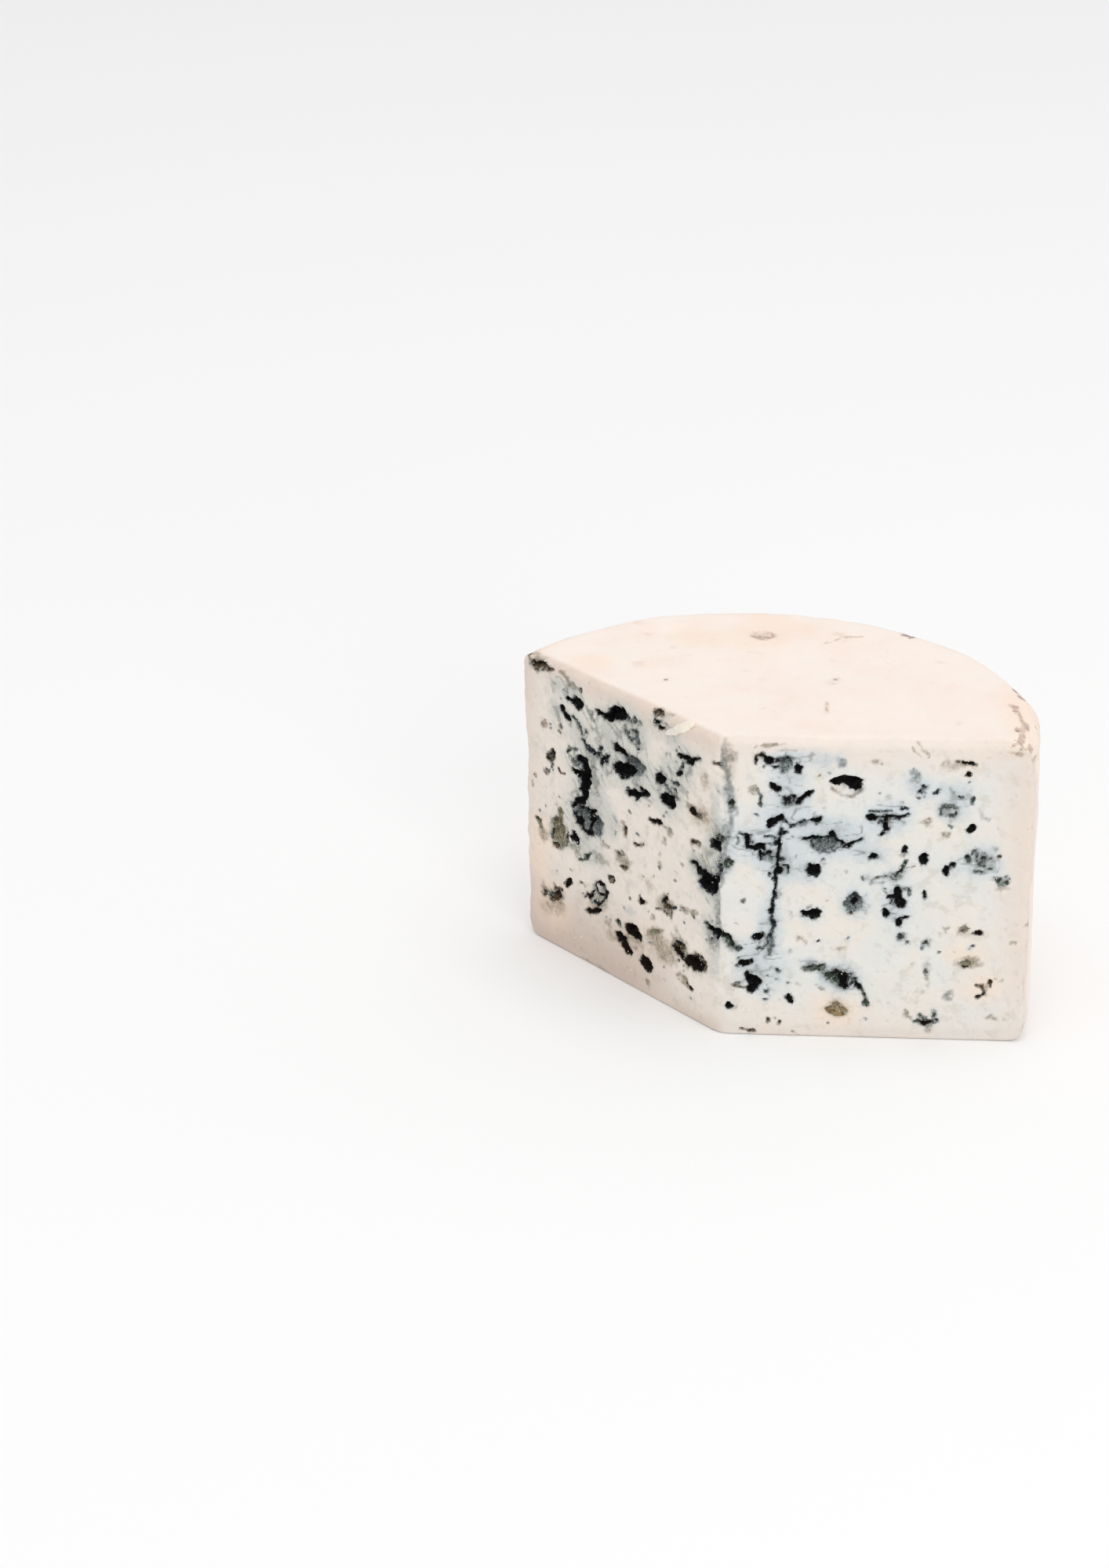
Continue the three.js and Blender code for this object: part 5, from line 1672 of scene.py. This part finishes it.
FLAKE_ALONG = 20.2  # millimetres from the front edge on the left cut
FLAKE_UP = 107.3
FLAKE_LIFT = 0.2  # how far its middle stands out of the cut
FLAKE_TILT = math.radians(32)
FLAKE_FOLD = 0.055  # how its upper end folds over the edge, from so many millimetres along it
FLAKE_FOLD_START = 2.4
FLAKE_ROUNDNESS = 5  # subdivisions
FLAKE_BLUNTNESS = (0.9, 0.8, 1.2)  # powers that shape its length, width and thickness
FLAKE_TAPER = (0.8, 0.28)  # its width at the middle, and how much that grows upwards
FLAKE_ROUGHNESS = ((0.45, 2.6, 50), (0.16, 0.9, 53))  # strength, cell and seed
FLAKE_UNEVENNESS = (1, 0.8, 0.45)  # how much of that works each way


def flake_mesh(form, sizes):
    """A thin, ragged flake that tapers at its lower end and folds over the left cut's top edge."""
    ball = bmesh.new()
    bmesh.ops.create_icosphere(ball, subdivisions=FLAKE_ROUNDNESS, radius=1)
    unit = np.array([tuple(v.co) for v in ball.verts])
    triangles = [[v.index for v in face.verts] for face in ball.faces]
    ball.free()
    half = np.array([sizes.flake_length, sizes.flake_width, sizes.flake_thickness]) / (2 * MM)
    shape = np.sign(unit) * np.abs(unit) ** FLAKE_BLUNTNESS * half
    width, growth = FLAKE_TAPER
    shape[:, 1] *= width + growth * unit[:, 0]
    rough = [layered(shape, FLAKE_ROUGHNESS, seed=axis) for axis in range(3)]
    shape += np.column_stack(rough) * FLAKE_UNEVENNESS
    shape[:, 2] -= FLAKE_FOLD * np.maximum(shape[:, 0] - FLAKE_FOLD_START, 0) ** 2
    towards_front = np.array([form.sin, -form.cos, 0])
    outwards = np.array([-form.cos, -form.sin, 0])
    up = np.array([0, 0, 1.0])
    long_side = math.cos(FLAKE_TILT) * towards_front + math.sin(FLAKE_TILT) * up
    short_side = np.cross(outwards, long_side)
    middle = -FLAKE_ALONG * towards_front + FLAKE_UP * up + FLAKE_LIFT * outwards
    points = middle + shape @ np.array([long_side, short_side, outwards]) + (0, form.front, 0)
    return mesh_of("cheese_flake", points * MM, triangles)


# ---------------------------------------------------------------- operators

def finish_piece(piece):
    """Every piece of the cheese rides on its one body and stands for its one solid."""
    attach(piece, BODY)
    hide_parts(NODE)


class CHEESE_OT_wedge(bpy.types.Operator):
    """Make the wedge itself: form, relief, pockets and surface."""
    bl_idname = "cheese.wedge"
    bl_label = "Wedge"

    def execute(self, context):
        sizes, colours = context.scene.cheese_sizes, context.scene.cheese_colours
        form = WedgeForm(sizes)
        charts = charts_of(form)
        plain, triangles = plain_surface(form)
        shaped = add_relief(form, charts, plain)
        points = (shaped + (0, form.front, 0)) * MM
        piece = object_of(WEDGE, mesh_of(WEDGE, points, triangles))
        thin = piece.modifiers.new("thin", "DECIMATE")
        thin.ratio = min(1, sizes.triangles / len(triangles))
        apply_modifiers(piece)
        piece.data.shade_smooth()
        paint_attributes(form, charts, piece.data, colours)
        piece.data.materials.append(cheese_material(colours))
        finish_piece(piece)
        return {"FINISHED"}


class CHEESE_OT_flake(bpy.types.Operator):
    """Lay the cream-coloured flake at the left cut's top edge."""
    bl_idname = "cheese.flake"
    bl_label = "Flake"

    def execute(self, context):
        sizes, colours = context.scene.cheese_sizes, context.scene.cheese_colours
        mesh = flake_mesh(WedgeForm(sizes), sizes)
        mesh.materials.append(matt_material("cheese_flake", colours.flake, colours.paste_cream, cell=2.5))
        finish_piece(object_of("cheese_flake", mesh))
        return {"FINISHED"}


class CHEESE_OT_crumbs(bpy.types.Operator):
    """Strew crumbs of curd over the cuts and tufts of mould through the pockets."""
    bl_idname = "cheese.crumbs"
    bl_label = "Crumbs and tufts"

    def execute(self, context):
        sizes, colours = context.scene.cheese_sizes, context.scene.cheese_colours
        wedge = bpy.data.objects[WEDGE]
        curd = matt_material("curd_crumbs", colours.paste, colours.paste_cream, cell=3)
        mould = matt_material("mould_tufts", colours.black, colours.blue, cell=1.5)
        strew(
            "curd_crumbs", wedge, CRUMB_SHARE, sizes.crumbs, sizes.crumb_size,
            roundness=2, seed=21, material=curd,
        )
        strew(
            "mould_tufts", wedge, TUFT_SHARE, sizes.tufts, sizes.tuft_size,
            roundness=1, seed=22, material=mould,
        )
        return {"FINISHED"}


class CHEESE_OT_stage(bpy.types.Operator):
    """Lay the floor, hang the lights and set the camera."""
    bl_idname = "cheese.stage"
    bl_label = "Stage"

    def execute(self, context):
        settings = context.scene.cheese_stage
        half = settings.floor_size / 2
        corners = [(-half, -half, 0), (half, -half, 0), (half, half, 0), (-half, half, 0)]
        floor = object_of("floor", mesh_of("floor", corners, [(0, 1, 2), (0, 2, 3)]))
        floor.data.materials.append(floor_material(settings))
        set_sky(context.scene, settings.sky)
        add_light("overhead", place=(0.5, -0.3, 3.0), size=2.6, power=settings.key)
        add_light("from_right", place=(2.6, -2.4, 1.8), size=2.0, power=settings.side)
        context.scene.view_settings.view_transform = "Standard"
        add_camera(context.scene)
        return {"FINISHED"}


def set_sky(scene, strength):
    """Even white light from all round."""
    world = bpy.data.worlds.new("even_light")
    world.use_nodes = True
    background = world.node_tree.nodes["Background"]
    background.inputs["Color"].default_value = (1, 1, 1, 1)
    background.inputs["Strength"].default_value = strength
    scene.world = world


LIT = Vector((0, 0, 0.05))  # the point at which the lights are aimed


def add_light(name, place, size, power):
    """A soft square light aimed at the cheese."""
    data = bpy.data.lights.new(name, "AREA")
    data.size = size
    data.energy = power
    lamp = bpy.data.objects.new(name, data)
    lamp.location = place
    aim = LIT - Vector(place)
    lamp.rotation_euler = aim.to_track_quat("-Z", "Y").to_euler()
    bpy.context.scene.collection.objects.link(lamp)


# The camera looks past the front edge's middle, which lies right of and below the middle of its view.
CAMERA_AZIMUTH = math.radians(25.64)
CAMERA_ELEVATION = math.radians(26.37)
CAMERA_DISTANCE = 1.274
IMAGE_WIDTH = 1414
IMAGE_HEIGHT = 2000
FOCAL_PIXELS = 4833.6
TARGET_RIGHT = 211.0  # pixels from the view's middle
TARGET_DOWN = 132.7
SENSOR = 36.0


def add_camera(scene):
    """A camera whose view the scene is rendered from."""
    data = bpy.data.cameras.new("camera")
    data.sensor_width = SENSOR
    data.lens = SENSOR * FOCAL_PIXELS / max(IMAGE_WIDTH, IMAGE_HEIGHT)
    data.clip_start = 0.01
    data.clip_end = 50
    camera = bpy.data.objects.new("camera", data)
    target = Vector((0, CAD_LOW.y, (CAD_LOW.z + CAD_HIGH.z) / 2))
    cos_e, sin_e = math.cos(CAMERA_ELEVATION), math.sin(CAMERA_ELEVATION)
    cos_a, sin_a = math.cos(CAMERA_AZIMUTH), math.sin(CAMERA_AZIMUTH)
    away = Vector((sin_a * cos_e, -cos_a * cos_e, sin_e))
    # Where the target lies in the camera's own view, then the turn that puts it there.
    seen = Vector((TARGET_RIGHT, -TARGET_DOWN, FOCAL_PIXELS)).normalized()
    pitch, yaw = math.asin(seen.y), math.atan2(seen.x, seen.z)
    look = away.to_track_quat("Z", "Y").to_matrix()
    turn = Matrix.Rotation(-pitch, 3, "X") @ Matrix.Rotation(yaw, 3, "Y")
    camera.matrix_world = Matrix.Translation(target + CAMERA_DISTANCE * away) @ (look @ turn).to_4x4()
    scene.collection.objects.link(camera)
    scene.camera = camera


class CHEESE_PT_panel(bpy.types.Panel):
    """Lists the steps that make the cheese."""
    bl_label = "Blue cheese"
    bl_space_type = "VIEW_3D"
    bl_region_type = "UI"
    bl_category = "Cheese"

    def draw(self, context):
        for step in STEPS:
            self.layout.operator(step.bl_idname)
        for group in SETTINGS:
            settings = getattr(context.scene, group)
            for name in settings.__annotations__:
                self.layout.prop(settings, name)


STEPS = (CHEESE_OT_wedge, CHEESE_OT_flake, CHEESE_OT_crumbs, CHEESE_OT_stage)
SETTINGS = {"cheese_sizes": CheeseSizes, "cheese_colours": CheeseColours, "cheese_stage": StageSettings}
CLASSES = (*SETTINGS.values(), *STEPS, CHEESE_PT_panel)


def register():
    for cls in CLASSES:
        bpy.utils.register_class(cls)
    for name, group in SETTINGS.items():
        setattr(bpy.types.Scene, name, PointerProperty(type=group))


def unregister():
    for name in SETTINGS:
        delattr(bpy.types.Scene, name)
    for cls in reversed(CLASSES):
        bpy.utils.unregister_class(cls)


def main():
    register()
    for step in STEPS:
        getattr(bpy.ops.cheese, step.bl_idname.split(".")[1])()


if __name__ == "__main__":
    main()
